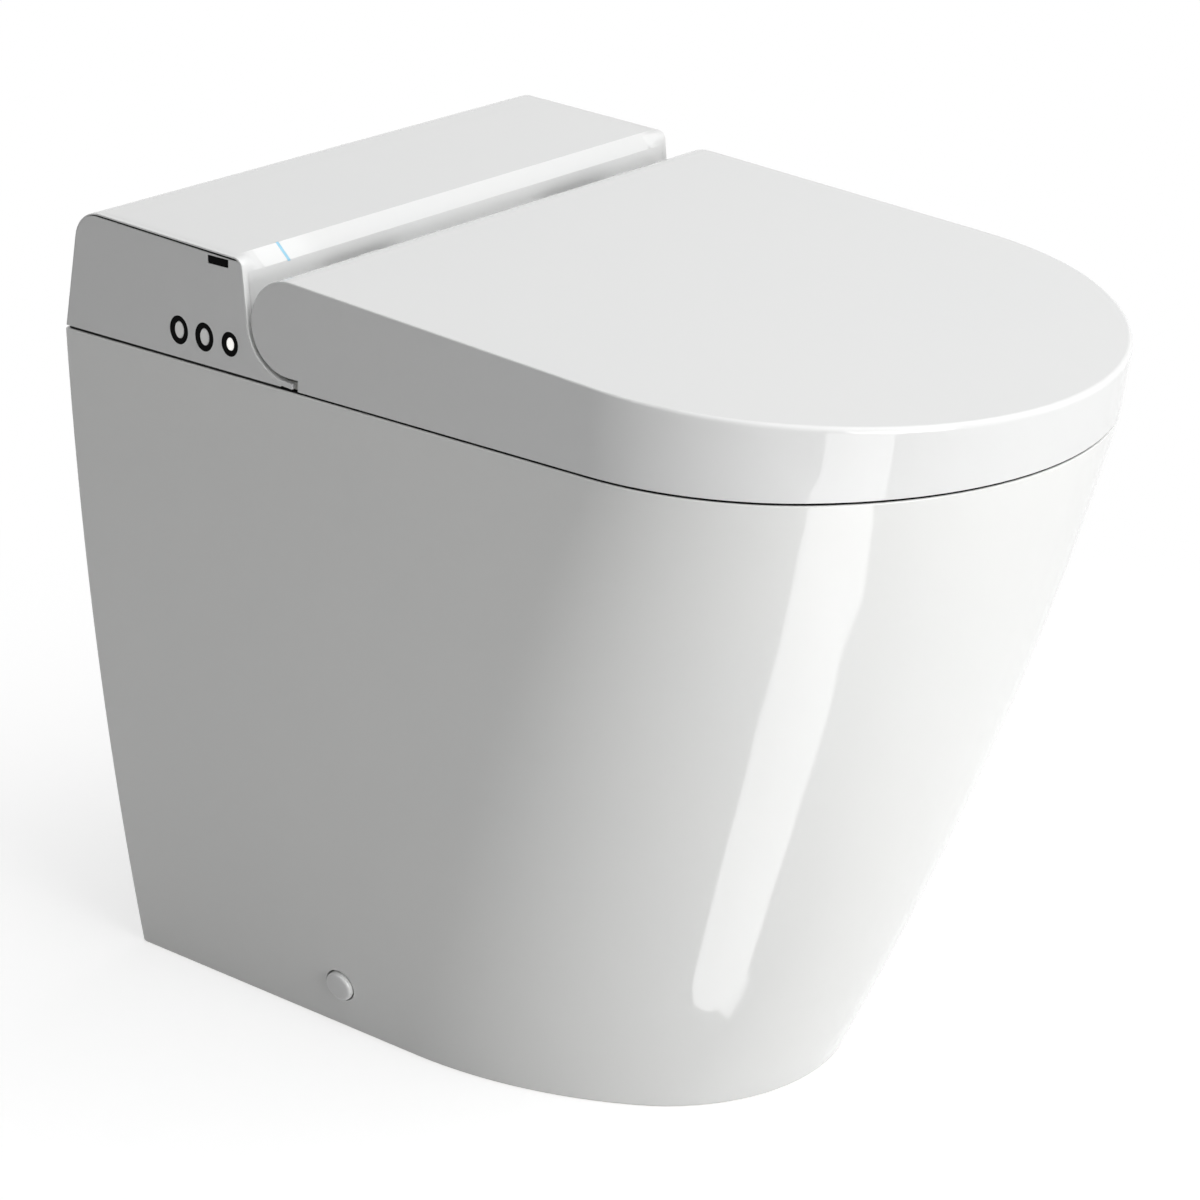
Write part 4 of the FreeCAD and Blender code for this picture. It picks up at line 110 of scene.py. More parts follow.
# Matt white floor paint: keeps the object's shadow close by and fades to plain white further out.
floor_paint = bpy.data.materials.new("matt_white_floor_paint")
floor_paint.use_nodes = True
floor_tree = floor_paint.node_tree
floor_tree.nodes.clear()
floor_seen = seen_directly(floor_tree)
floor_lift = add(floor_tree, "ShaderNodeMath", {0: (floor_seen, 0), 1: FLOOR_LIFT}, operation="MULTIPLY")
floor_own = add(floor_tree, "ShaderNodeEmission", {"Color": linear(WHITE), "Strength": (floor_lift, 0)})
floor_coat = add(floor_tree, "ShaderNodeBsdfDiffuse", {"Color": linear("#C8C8C8")})
floor_sum = add(floor_tree, "ShaderNodeAddShader", {0: (floor_own, 0), 1: (floor_coat, 0)})
floor_where = add(floor_tree, "ShaderNodeTexCoord")
floor_far = add(floor_tree, "ShaderNodeVectorMath", {0: (floor_where, "Object")}, operation="LENGTH")
floor_fade = add(floor_tree, "ShaderNodeMapRange",
                 {"Value": (floor_far, "Value"), "From Min": FADE_FROM, "From Max": FADE_TO},
                 interpolation_type="SMOOTHSTEP")
floor_blank = add(floor_tree, "ShaderNodeMath", {0: (floor_fade, "Result"), 1: (floor_seen, 0)},
                  operation="MULTIPLY")
floor_white = add(floor_tree, "ShaderNodeEmission", {"Color": linear(WHITE), "Strength": 1.0})
floor_mix = add(floor_tree, "ShaderNodeMixShader",
                {0: (floor_blank, 0), 1: (floor_sum, 0), 2: (floor_white, 0)})
add(floor_tree, "ShaderNodeOutputMaterial", {"Surface": (floor_mix, 0)})

floor_mesh = bpy.data.meshes.new("studio_floor")
floor_mesh.from_pydata([(-FLOOR_HALF, -FLOOR_HALF, 0), (FLOOR_HALF, -FLOOR_HALF, 0),
                        (FLOOR_HALF, FLOOR_HALF, 0), (-FLOOR_HALF, FLOOR_HALF, 0)], [], [(0, 1, 2, 3)])
floor_mesh.materials.append(floor_paint)
floor = bpy.data.objects.new("studio_floor", floor_mesh)
scene.collection.objects.link(floor)

for name, watts, width, height, place, aim in SOFT_BOXES:
    lamp = bpy.data.lights.new(name, "AREA")
    lamp.shape = "RECTANGLE"
    lamp.size = width
    lamp.size_y = height
    lamp.energy = watts
    stand = bpy.data.objects.new(name, lamp)
    stand.location = place
    stand.rotation_euler = (Vector(aim) - Vector(place)).to_track_quat("-Z", "Y").to_euler()
    scene.collection.objects.link(stand)

# Strip lamp's diffuser: an even white glow, seen only where the gloss mirrors it.
strip_glow = bpy.data.materials.new("strip_lamp_diffuser")
strip_glow.use_nodes = True
strip_glow.node_tree.nodes.clear()
strip_light = add(strip_glow.node_tree, "ShaderNodeEmission",
                  {"Color": linear(WHITE), "Strength": STRIP_STRENGTH})
add(strip_glow.node_tree, "ShaderNodeOutputMaterial", {"Surface": (strip_light, 0)})
strip_mesh = bpy.data.meshes.new("strip_lamp")
strip_mesh.from_pydata([(x, y, STRIP_LEVEL) for x, y in STRIP_EDGE], [], [range(len(STRIP_EDGE))])
strip_mesh.materials.append(strip_glow)
strip = bpy.data.objects.new("strip_lamp", strip_mesh)
strip.visible_camera = False
strip.visible_diffuse = False
strip.visible_shadow = False
scene.collection.objects.link(strip)

# The camera stands as the photograph's did: to the left of the front, a little above the lid, with a
# slight roll. Its place and lens were fitted to the outline of the object.
CAMERA_AT = (-1.45798, -1.01794, 0.97713)
CAMERA_AZIMUTH = math.radians(54.255)
CAMERA_FALL = math.radians(22.081)
CAMERA_ROLL = math.radians(2.313)
SENSOR = 36.0
FOCAL_PIXELS = 3345.48
FRAME_PIXELS = 1200
ahead = Vector((math.sin(CAMERA_AZIMUTH) * math.cos(CAMERA_FALL),
                math.cos(CAMERA_AZIMUTH) * math.cos(CAMERA_FALL), -math.sin(CAMERA_FALL)))
level = Vector((math.cos(CAMERA_AZIMUTH), -math.sin(CAMERA_AZIMUTH), 0.0))
upward = level.cross(ahead)
to_right = math.cos(CAMERA_ROLL) * level + math.sin(CAMERA_ROLL) * upward
to_top = math.cos(CAMERA_ROLL) * upward - math.sin(CAMERA_ROLL) * level
lens = bpy.data.cameras.new("photo_camera")
lens.sensor_width = SENSOR
lens.lens = FOCAL_PIXELS * SENSOR / FRAME_PIXELS
camera = bpy.data.objects.new("photo_camera", lens)
turn = Matrix((to_right, to_top, -ahead)).transposed().to_4x4()
camera.matrix_world = Matrix.Translation(CAMERA_AT) @ turn
scene.collection.objects.link(camera)
scene.camera = camera

# The pan's skirt and deck: vitreous china, slip cast in one with the well for the works and glazed
# white all over but for the foot it stood on in the kiln. Everything else is fastened to it.
REAR = 268.0
RIM = 405.0
DECK_UNDER = 391.0
CHINA_WALL = 11.0
RIM_LIP = 1.7
LIP_EDGE = 0.9
LIP_FALL = ((1.0, 4.6), (0.8, 5.8), (0.2, 8.0), (0.0, 9.5))
FOOT_ROUND = 1.5
FOOT_WIPED = 0.8
BACK_CORNER = 3.0
BOWL_LIP = 5.0
MID_HEIGHT = 203.0
BELOW = -10.0
BACK_STEPS = 4
SIDE_STEPS = 14
TURN_STEPS = 26
NOSE_STEPS = 14
QUARTER_STEPS = 5
SKIRT_STEPS = 32
HOLLOW_STEPS = 16
BOWL_STEPS = 24
LEAST_RADIUS = 0.01
# Half width, front, where the front round starts and its side radius: at the foot, the middle and the rim.
SECTIONS = ((138.0, 405.0, 216.0, 255.0), (173.0, 481.5, 283.0, 210.0), (192.5, 531.7, 364.0, 150.0))
# Height, middle, half length and half width of the bowl's inside: at its sump, its waist and its rim.
BOWL_INNER = ((55.0, 305.0, 58.0, 48.0), (230.0, 330.0, 112.0, 104.0), (406.0, 338.0, 138.0, 136.0))
SERVICE_OPENING = ((-95, 95), (-1, 12), (-1, 247))
WELL_OUTER = ((-169, 169), (5, 161), (251, 398))
WELL_ROOM = ((-158, 158), (16, 150), (262, 420))
WELL_BORE_FROM = 245
BORE_REACH = 30
FIXING_SETBACK = 165
FIXING_HEIGHT = 30
FIXING_REACH = 60
CAP_HOLE = 10.3
CAP_HOLE_FROM = 138
SCREW_HOLE = 4.3
SCREW_HOLE_FROM = 120
INSERT_HOLE = 4.55
INSERT_X = 173
INSERT_SETBACKS = (42, 128)
INSERT_FOOT = 394
INLET_HOLE = 11.2
INLET_AT = (-100, 52)
GLAND_HOLE = 7.05
GLAND_AT = (105, 124)
PORT_HOLE = 14.0
PORT_START = (-60, 145, 370)
PORT_REACH = 40
# Sides, floor and roof of the wand's and the air duct's passages where they leave the well.
PASSAGES = ((-10.5, 10.5, 369.3, 395.05), (67.6, 102.4, 374.53, 397.84))
PASSAGE_FALL = math.tan(math.radians(20.0))
PASSAGE_AT = 150
PASSAGE_ENDS = (145, 180)


def finish(name, colour, second, patch_mm, rough, spread, grain_mm, grain_depth, **values):
    """A finish in two near colours in soft patches, a gloss that goes with them and a fine grain."""
    made = bpy.data.materials.new(name)
    made.use_nodes = True
    tree = made.node_tree
    tree.nodes.clear()
    where = add(tree, "ShaderNodeTexCoord")
    patches = add(tree, "ShaderNodeTexNoise",
                  {"Vector": (where, "Object"), "Scale": 1000 / patch_mm, "Detail": 3.0})
    tint = add(tree, "ShaderNodeMix", {0: (patches, 0), 6: linear(colour), 7: linear(second)},
               data_type="RGBA")
    gloss = add(tree, "ShaderNodeMapRange", {"Value": (patches, 0), "From Min": 0.3, "From Max": 0.7,
                                             "To Min": rough, "To Max": rough + spread})
    grain = add(tree, "ShaderNodeTexNoise",
                {"Vector": (where, "Object"), "Scale": 1000 / grain_mm, "Detail": 2.0})
    relief = add(tree, "ShaderNodeBump", {"Height": (grain, 0), "Distance": grain_depth / 1000})
    sockets = {"Base Color": (tint, 2), "Roughness": (gloss, "Result"), "Normal": (relief, "Normal")}
    sockets.update(values)
    shader = add(tree, "ShaderNodeBsdfPrincipled", sockets)
    add(tree, "ShaderNodeOutputMaterial", {"Surface": (shader, "BSDF")})
    return made


# Glazed vitreous china: a thick clear gloss over a white body, with a long faint wave in its surface.
glazed_china = finish("glazed_vitreous_china", "#F0F0EE", "#ECEDEC", 160.0, 0.06, 0.03, 45.0, 0.05,
                      **{"IOR": 1.55, "Coat Weight": 0.3, "Coat Roughness": 0.03})
# Unglazed china body: the foot is wiped clean of glaze before firing and stays matt and off white.
bare_china = finish("unglazed_china_foot", "#D9D2C4", "#CCC4B4", 6.0, 0.75, 0.15, 0.9, 0.05)


def piece_from(name, points, faces, material):
    """A closed mesh from points in millimetres: across, forward of the wall, up."""
    mesh = bpy.data.meshes.new(name)
    mesh.from_pydata([(x / 1000, (REAR - s) / 1000, z / 1000) for x, s, z in points], [], faces)
    shape = bmesh.new()
    shape.from_mesh(mesh)
    bmesh.ops.recalc_face_normals(shape, faces=shape.faces)
    shape.to_mesh(mesh)
    shape.free()
    mesh.materials.append(material)
    made = bpy.data.objects.new(name, mesh)
    scene.collection.objects.link(made)
    return made


def lofted(name, loops, material):
    """A closed skin over a stack of loops with as many points each."""
    count = len(loops[0])
    points = [p for loop in loops for p in loop]
    faces = [list(range(count)), list(range(count * (len(loops) - 1), count * len(loops)))]
    for k in range(len(loops) - 1):
        for i in range(count):
            j = (i + 1) % count
            faces.append((k * count + i, k * count + j, (k + 1) * count + j, (k + 1) * count + i))
    return piece_from(name, points, faces, material)


def block(name, across, forward, up, material):
    """A plain block, used to cut or to build up another piece."""
    low = [(x, s, up[0]) for x, s in ((across[0], forward[0]), (across[1], forward[0]),
                                      (across[1], forward[1]), (across[0], forward[1]))]
    return lofted(name, [low, [(x, s, up[1]) for x, s, z in low]], material)


def turned(name, profile, centre, axis, material, count=48):
    """A solid of revolution from radius and height steps along its axis, closed at both ends."""
    along = Vector(axis).normalized()
    first = along.orthogonal().normalized()
    second = along.cross(first)
    loops = []
    for radius, height in profile:
        loops.append([tuple(Vector(centre) + along * height
                            + (first * math.cos(a) + second * math.sin(a)) * max(radius, LEAST_RADIUS))
                      for a in (2 * math.pi * i / count for i in range(count))])
    return lofted(name, loops, material)


def rod(name, radius, start, way, length, material):
    """A round bar from a start point, along a direction."""
    return turned(name, [(radius, 0.0), (radius, length)], start, way, material)


def worked(body, tool, way):
    """The body after a tool has been cut from it, added to it or shared with it."""
    step = body.modifiers.new("work", "BOOLEAN")
    step.operation = way
    step.object = tool
    step.solver = "EXACT"
    graph = bpy.context.evaluated_depsgraph_get()
    mesh = bpy.data.meshes.new_from_object(body.evaluated_get(graph))
    body.modifiers.remove(step)
    body.data = mesh
    bpy.data.objects.remove(tool)
    return body


def eased(made, sharp_degrees, edge_mm=0.0, steps=2):
    """Smooth faces between the sharp edges, which get a small round, with the flats kept flat."""
    shape = bmesh.new()
    shape.from_mesh(made.data)
    limit = math.radians(sharp_degrees)
    for face in shape.faces:
        face.smooth = True
    for edge in shape.edges:
        edge.smooth = len(edge.link_faces) == 2 and edge.calc_face_angle(0.0) < limit
    shape.to_mesh(made.data)
    shape.free()
    if edge_mm:
        round_off = made.modifiers.new("eased_edges", "BEVEL")
        round_off.width = edge_mm / 1000
        round_off.segments = steps
        round_off.limit_method = "ANGLE"
        round_off.angle_limit = limit
        round_off.miter_outer = "MITER_ARC"
    flats = made.modifiers.new("true_flats", "WEIGHTED_NORMAL")
    flats.keep_sharp = True
    return made


def fitted(made, body, slot, *nodes):
    """Fixes a finished piece to the body it moves with, in place of the plain solids."""
    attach(made, body)
    if nodes:
        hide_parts(*nodes)
    return made


def outline(half, front, arch, radius, rear, corner):
    """Plan of the skirt: straight back and sides, a round each side and a broad round nose."""
    rise = front - arch
    side = half - radius
    nose = (side ** 2 + rise ** 2 - radius ** 2) / (2 * (rise - radius))
    meet = nose * side / (nose - radius)
    reach = front - nose + nose * (nose - rise) / (nose - radius)
    swing = math.atan2(reach - arch, meet - side)
    right = [(half - corner + corner * math.sin(a), rear + corner - corner * math.cos(a))
             for a in (math.pi / 2 * i / BACK_STEPS for i in range(BACK_STEPS + 1))]
    run = arch - rear - corner
    right += [(half, rear + corner + run * i / SIDE_STEPS) for i in range(1, SIDE_STEPS + 1)]
    right += [(side + radius * math.cos(a), arch + radius * math.sin(a))
              for a in (swing * i / TURN_STEPS for i in range(1, TURN_STEPS + 1))]
    right += [(nose * math.cos(a), front - nose + nose * math.sin(a))
              for a in (swing + (math.pi / 2 - swing) * i / NOSE_STEPS for i in range(1, NOSE_STEPS))]
    return right + [(0.0, front)] + [(-x, s) for x, s in reversed(right)]


def through(heights, z):
    """Shares of three stacked outlines in the smooth skin that runs through them, at one level."""
    shares = []
    for i in range(3):
        share = 1.0
        for j in range(3):
            if j != i:
                share *= (z - heights[j]) / (heights[i] - heights[j])
        shares.append(share)
    return shares


def skirt_loop(z, inset, low, high, rear, lift=0.0):
    """One level of the skirt, set in from its face, between the base, middle and rim outlines."""
    loops = [outline(half - inset, front - inset, arch, radius - inset, rear, BACK_CORNER)
             for half, front, arch, radius in SECTIONS]
    shares = through((low, MID_HEIGHT, high), z)
    return [(sum(shares[i] * loops[i][k][0] for i in range(3)),
             sum(shares[i] * loops[i][k][1] for i in range(3)), z + lift) for k in range(len(loops[0]))]


def bowl_loop(z, grow=0.0, count=96):
    """One level of the bowl, an oval between those of its sump, waist and rim."""
    shares = through([row[0] for row in BOWL_INNER], z)
    middle, long, wide = (sum(shares[i] * BOWL_INNER[i][k] for i in range(3)) for k in (1, 2, 3))
    turns = [2 * math.pi * i / count for i in range(count)]
    return [((wide + grow) * math.cos(a), middle + (long + grow) * math.sin(a), z) for a in turns]


def passage(low, high, floor_z, roof_z):
    """A sloping passage through the front wall of the well."""
    loops = []
    for s in PASSAGE_ENDS:
        fall = PASSAGE_FALL * (s - PASSAGE_AT)
        loops.append([(low, s, floor_z - fall), (high, s, floor_z - fall),
                      (high, s, roof_z - fall), (low, s, roof_z - fall)])
    return lofted("passage", loops, glazed_china)


quarter = [math.pi / 2 * i / QUARTER_STEPS for i in range(QUARTER_STEPS + 1)]
wall_top = RIM + RIM_LIP - LIP_EDGE
skirt_levels = [(FOOT_ROUND * (1 - math.cos(a)), FOOT_ROUND * (1 - math.sin(a))) for a in quarter]
skirt_levels += [(FOOT_ROUND + (wall_top - FOOT_ROUND) * i / SKIRT_STEPS, 0.0)
                 for i in range(1, SKIRT_STEPS + 1)]
skirt_levels += [(wall_top + LIP_EDGE * math.sin(a), LIP_EDGE * (1 - math.cos(a))) for a in quarter[1:]]
skirt_levels += [(RIM + RIM_LIP * share, inset) for share, inset in LIP_FALL]
china_skirt = lofted("china_skirt", [skirt_loop(min(z, RIM), inset, 0.0, RIM, inset, max(z - RIM, 0.0))
                                     for z, inset in skirt_levels], glazed_china)
hollow_levels = [BELOW + (DECK_UNDER - BELOW) * i / HOLLOW_STEPS for i in range(HOLLOW_STEPS + 1)]
sump = BOWL_INNER[0][0]
lip_foot = RIM - BOWL_LIP
bowl_levels = [bowl_loop(sump + (lip_foot - sump) * i / BOWL_STEPS) for i in range(BOWL_STEPS)]
bowl_levels += [bowl_loop(lip_foot + BOWL_LIP * math.sin(a), BOWL_LIP * (1 - math.cos(a))) for a in quarter]
bowl_levels.append(bowl_loop(RIM + BOWL_LIP, BOWL_LIP))
skirt_work = [
    ("DIFFERENCE", lofted("hollow", [skirt_loop(z, CHINA_WALL, BELOW, DECK_UNDER, CHINA_WALL)
                                     for z in hollow_levels], glazed_china)),
    ("DIFFERENCE", block("service_opening", *SERVICE_OPENING, glazed_china)),
    ("UNION", block("well_wall", *WELL_OUTER, glazed_china)),
    ("DIFFERENCE", block("well_room", *WELL_ROOM, glazed_china)),
    ("DIFFERENCE", lofted("bowl_room", bowl_levels, glazed_china))]
for name, radius, start in (("cap_hole", CAP_HOLE, CAP_HOLE_FROM),
                            ("screw_hole", SCREW_HOLE, SCREW_HOLE_FROM)):
    for side in (-1, 1):
        bore = rod(name, radius, (side * start, FIXING_SETBACK, FIXING_HEIGHT), (side, 0, 0), FIXING_REACH,
                   glazed_china)
        skirt_work.append(("DIFFERENCE", bore))
upright = [("insert_hole", INSERT_HOLE, (side * INSERT_X, s, INSERT_FOOT))
           for side in (-1, 1) for s in INSERT_SETBACKS]
upright += [("inlet_hole", INLET_HOLE, (*INLET_AT, WELL_BORE_FROM)),
            ("gland_hole", GLAND_HOLE, (*GLAND_AT, WELL_BORE_FROM))]
for name, radius, start in upright:
    skirt_work.append(("DIFFERENCE", rod(name, radius, start, (0, 0, 1), BORE_REACH, glazed_china)))
skirt_work.append(("DIFFERENCE", rod("flush_port", PORT_HOLE, PORT_START, (0, 1, 0), PORT_REACH,
                                     glazed_china)))
skirt_work += [("DIFFERENCE", passage(*sizes)) for sizes in PASSAGES]
for way, tool in skirt_work:
    china_skirt = worked(china_skirt, tool, way)
china_skirt.data.materials.append(bare_china)
for face in china_skirt.data.polygons:
    face.material_index = 1 if face.center.z < FOOT_WIPED / 1000 and face.normal.z < -0.5 else 0
fitted(eased(china_skirt, 38.0), "pan", "glazed_china", "pan_skirt")


def copied(node, material):
    """A copy of a piece of the frame with its facets merged, to be worked on."""
    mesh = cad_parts[node].data.copy()
    mesh.materials.clear()
    mesh.materials.append(material)
    shape = bmesh.new()
    shape.from_mesh(mesh)
    bmesh.ops.remove_doubles(shape, verts=shape.verts, dist=1e-6)
    bmesh.ops.dissolve_limit(shape, angle_limit=math.radians(0.2), verts=shape.verts, edges=shape.edges)
    for face in shape.faces:
        face.material_index = 0
    shape.to_mesh(mesh)
    shape.free()
    made = bpy.data.objects.new(node + "_piece", mesh)
    scene.collection.objects.link(made)
    return made


def dressed(node, body, material, slot, sharp=40.0, edge=0.0, steps=2):
    """A piece of the frame with its edges eased and its own finish."""
    return fitted(eased(copied(node, material), sharp, edge, steps), body, slot, node)


# The bowl and the trapway are cast apart and stuck to the skirt with slip before it is fired, so they
# carry the same glaze. The trapway ends in the spigot that pushes into the waste pipe.
for casting in ("pan_bowl", "pan_trapway"):
    dressed(casting, "pan", glazed_china, "glazed_china")

# Floor fixing: two moulded brackets are bolted to the floor, the pan is lowered over them, and a screw
# each side goes through the china into them under a domed cap that hides it.

# Natural polypropylene: milky grey, moulded and left plain, with a dull waxy sheen.
natural_pp = finish("natural_polypropylene", "#D0D0CC", "#C6C6C1", 30.0, 0.38, 0.10, 1.2, 0.02,
                    **{"IOR": 1.49})
# Zinc plated steel: a cool grey metal with a slightly cloudy shine.
zinc_steel = finish("zinc_plated_steel", "#B4B7BA", "#A2A5A7", 10.0, 0.28, 0.12, 0.7, 0.01,
                    **{"Metallic": 1.0})
# Gloss white ABS of small mouldings: bright white, with clean highlights.
white_abs = finish("gloss_white_abs", "#F2F2F1", "#EEEFEF", 120.0, 0.10, 0.04, 3.0, 0.004, **{"IOR": 1.53})
dressed("floor_brackets", "pan", natural_pp, "works_plastic", edge=0.3)
dressed("side_screws", "pan", zinc_steel, "steel")
CAP_TILT = math.radians(11.5)
CAP_FACE = 144.1
CAP_DOME = [(0.0, -6.0), (9.2, -6.0), (9.3, -0.2), (9.25, 1.4), (9.0, 2.1), (8.5, 2.6), (7.7, 2.85),
            (5.4, 3.0), (2.7, 3.1), (0.0, 3.15)]
caps = []
for side in (-1, 1):
    hand = "right" if side < 0 else "left"
    centre = (side * CAP_FACE, FIXING_SETBACK, FIXING_HEIGHT)
    axis = (side * math.cos(CAP_TILT), 0.0, -math.sin(CAP_TILT))
    caps.append(turned("side_cap_" + hand, CAP_DOME, centre, axis, white_abs))


def joined(first, *others):
    """Several meshes as one piece."""
    shape = bmesh.new()
    for part in (first, *others):
        shape.from_mesh(part.data)
    shape.to_mesh(first.data)
    shape.free()
    for part in others:
        bpy.data.objects.remove(part)
    return first


side_caps = joined(*caps)
side_caps.name = "side_cap_pair"
fitted(eased(side_caps, 50.0), "pan", "white_shell", "side_caps")

# Dark strip along the rim: painted shade, a flat strip in black rubber finish laid along the top of the
# china's edge.
# The lid and the rear unit stand a hair above it, so that it shows as the dark line that runs right round
# the object, where the gap between them is in shadow.
RIM_STRIP_INSET = 2.7
RIM_STRIP_WIDTH = 3.4
RIM_STRIP_HEIGHT = 0.6
DARK_STRIP_CORNER = 0.2
RIM_STRIP_SUNK = 0.05
# Black EPDM rubber: extruded, matt and almost without reflection.
black_epdm = finish("black_epdm_rubber", "#0B0B0B", "#121212", 8.0, 0.60, 0.12, 0.7, 0.03,
                    **{"Specular IOR Level": 0.15})


def shaped(name, base, tree, material, **values):
    """A plain mesh from a node tree, its named inputs set before it is first worked out."""
    made = bpy.data.objects.new(name, base)
    scene.collection.objects.link(made)
    step = made.modifiers.new(tree.name, "NODES")
    step.node_group = tree
    for item in tree.interface.items_tree:
        if item.in_out == "INPUT" and item.name in values:
            step[item.identifier] = values[item.name]
    graph = bpy.context.evaluated_depsgraph_get()
    mesh = bpy.data.meshes.new_from_object(made.evaluated_get(graph))
    made.modifiers.remove(step)
    made.data = mesh
    if not mesh.materials:
        mesh.materials.append(material)
    return made


def tree_with(name, **inputs):
    """An empty node tree with named inputs for its sizes, and a way in and out for the geometry."""
    tree = bpy.data.node_groups.new(name, "GeometryNodeTree")
    tree.interface.new_socket("Geometry", in_out="INPUT", socket_type="NodeSocketGeometry")
    for label, kind in inputs.items():
        tree.interface.new_socket(label, in_out="INPUT", socket_type=kind)
    tree.interface.new_socket("Geometry", in_out="OUTPUT", socket_type="NodeSocketGeometry")
    return tree, add(tree, "NodeGroupInput")


strip_tree, given = tree_with("strip_along_a_path", Width="NodeSocketFloat", Height="NodeSocketFloat",
                              Corner="NodeSocketFloat", Finish="NodeSocketMaterial")
path = add(strip_tree, "GeometryNodeMeshToCurve", {"Mesh": (given, "Geometry")})
level_path = add(strip_tree, "GeometryNodeSetCurveNormal", {"Curve": (path, "Curve")}, mode="Z_UP")
cut = add(strip_tree, "GeometryNodeCurvePrimitiveQuadrilateral",
          {"Width": (given, "Width"), "Height": (given, "Height")})
soft_cut = add(strip_tree, "GeometryNodeFilletCurve",
               {"Curve": (cut, "Curve"), "Radius": (given, "Corner")}, mode="POLY")
strip_skin = add(strip_tree, "GeometryNodeCurveToMesh",
                 {"Curve": (level_path, "Curve"), "Profile Curve": (soft_cut, "Curve"), "Fill Caps": True})
strip_real = add(strip_tree, "GeometryNodeRealizeInstances", {"Geometry": (strip_skin, "Mesh")})
strip_coat = add(strip_tree, "GeometryNodeSetMaterial",
                 {"Geometry": (strip_real, "Geometry"), "Material": (given, "Finish")})
add(strip_tree, "NodeGroupOutput", {"Geometry": (strip_coat, "Geometry")})
rim_strip_line = [(x / 1000, (REAR - s) / 1000, (RIM + RIM_LIP + RIM_STRIP_HEIGHT / 2 - RIM_STRIP_SUNK) / 1000)
             for x, s, z in skirt_loop(RIM, RIM_STRIP_INSET, 0.0, RIM, RIM_STRIP_INSET)]
rim_strip_mesh = bpy.data.meshes.new("rim_seal_path")
rim_strip_mesh.from_pydata(rim_strip_line, [(i, (i + 1) % len(rim_strip_line)) for i in range(len(rim_strip_line))], [])
rim_seal = shaped("rim_seal", rim_strip_mesh, strip_tree, black_epdm, Width=RIM_STRIP_WIDTH / 1000,
                  Height=RIM_STRIP_HEIGHT / 1000, Corner=DARK_STRIP_CORNER / 1000, Finish=black_epdm)
fitted(eased(rim_seal, 50.0), "pan", "dark_rubber")
# The same painted shade along the foot of the rear unit: a black strip in its gap over the china, standing
# in for the shadow there.
UNIT_STRIP_LINE = ((-190.2, 160.0), (-190.2, 5.6), (-188.9, 4.3), (188.9, 4.3), (190.2, 5.6), (190.2, 160.0))
UNIT_STRIP_WIDTH = 2.6
UNIT_STRIP_HEIGHT = 1.9
UNIT_STRIP_LIFT = 0.9
unit_line = [(x / 1000, (REAR - s) / 1000, (RIM + RIM_LIP + UNIT_STRIP_LIFT) / 1000) for x, s in UNIT_STRIP_LINE]
unit_path_mesh = bpy.data.meshes.new("unit_seal_path")
unit_path_mesh.from_pydata(unit_line, [(i, i + 1) for i in range(len(unit_line) - 1)], [])
unit_seal = shaped("unit_seal", unit_path_mesh, strip_tree, black_epdm, Width=UNIT_STRIP_WIDTH / 1000,
                   Height=UNIT_STRIP_HEIGHT / 1000, Corner=DARK_STRIP_CORNER / 1000, Finish=black_epdm)
fitted(eased(unit_seal, 50.0), "pan", "dark_rubber")

# The works tray: a moulded base plate on a rubber gasket, held to the deck by four screws in brass
# inserts. It carries the hinge posts and everything under the cover.

# Turned brass: warm yellow metal, bright where the tool left it.
turned_brass = finish("turned_brass", "#C8A765", "#B8965A", 10.0, 0.24, 0.12, 0.6, 0.01,
                      **{"Metallic": 1.0})
dressed("base_plate", "pan", natural_pp, "works_plastic", edge=0.25)
dressed("deck_gasket", "pan", black_epdm, "dark_rubber")
dressed("plate_inserts", "pan", turned_brass, "brass_fitting")
dressed("plate_screws", "pan", zinc_steel, "steel")

# Water side: the inlet valve screws down through the well with a nut below, and feeds the heater tank,
# the flush pump and its hose, which ends in the spreader that throws water round the bowl.

# Grey acetal: a mid grey, even and slightly slippery to look at.
grey_pom = finish("grey_acetal", "#77797B", "#6E7072", 15.0, 0.36, 0.08, 1.0, 0.01, **{"IOR": 1.48})
# Black glass filled nylon: near black, its satin face a little uneven from the fibres.
black_pa = finish("black_glass_filled_nylon", "#1F1F21", "#28282A", 15.0, 0.45, 0.12, 0.8, 0.03,
                  **{"IOR": 1.53})
dressed("inlet_valve", "pan", turned_brass, "brass_fitting", edge=0.2)
dressed("inlet_nut", "pan", grey_pom, "grey_moulding", edge=0.4)
dressed("water_heater", "pan", natural_pp, "works_plastic", edge=0.5)
dressed("flush_pump", "pan", black_pa, "dark_works", edge=0.4)
dressed("flush_hose", "pan", black_epdm, "dark_rubber")
dressed("flush_spreader", "pan", white_abs, "works_plastic", edge=0.3)

# Power: a potted supply, the control board it feeds, and the gland where the mains lead comes up
# through the well.

# Green solder resist: a deep green lacquer with a soft shine.
green_board = finish("green_solder_resist", "#14452A", "#0F3A22", 6.0, 0.30, 0.10, 0.6, 0.02,
                     **{"IOR": 1.55})
dressed("power_supply", "pan", black_pa, "dark_works", edge=0.5)
dressed("control_board", "pan", green_board, "circuit_board")
dressed("cable_gland", "pan", black_pa, "dark_works", edge=0.2)

# Drying: a drum blower blows down the duct into the bowl, through a flap that hangs on a steel pin.
dressed("blower_casing", "pan", natural_pp, "works_plastic", edge=0.3)
dressed("blower_motor", "pan", zinc_steel, "steel", edge=0.3)
dressed("blower_impeller", "impeller", black_pa, "dark_works")
dressed("air_duct", "pan", natural_pp, "works_plastic")
dressed("dryer_flap", "flap", white_abs, "works_plastic", edge=0.3)
dressed("flap_pin", "pan", zinc_steel, "steel")

# Washing: a motor and pinion run the rack under the wand, which slides out of its cradle with the
# spray head on its end.

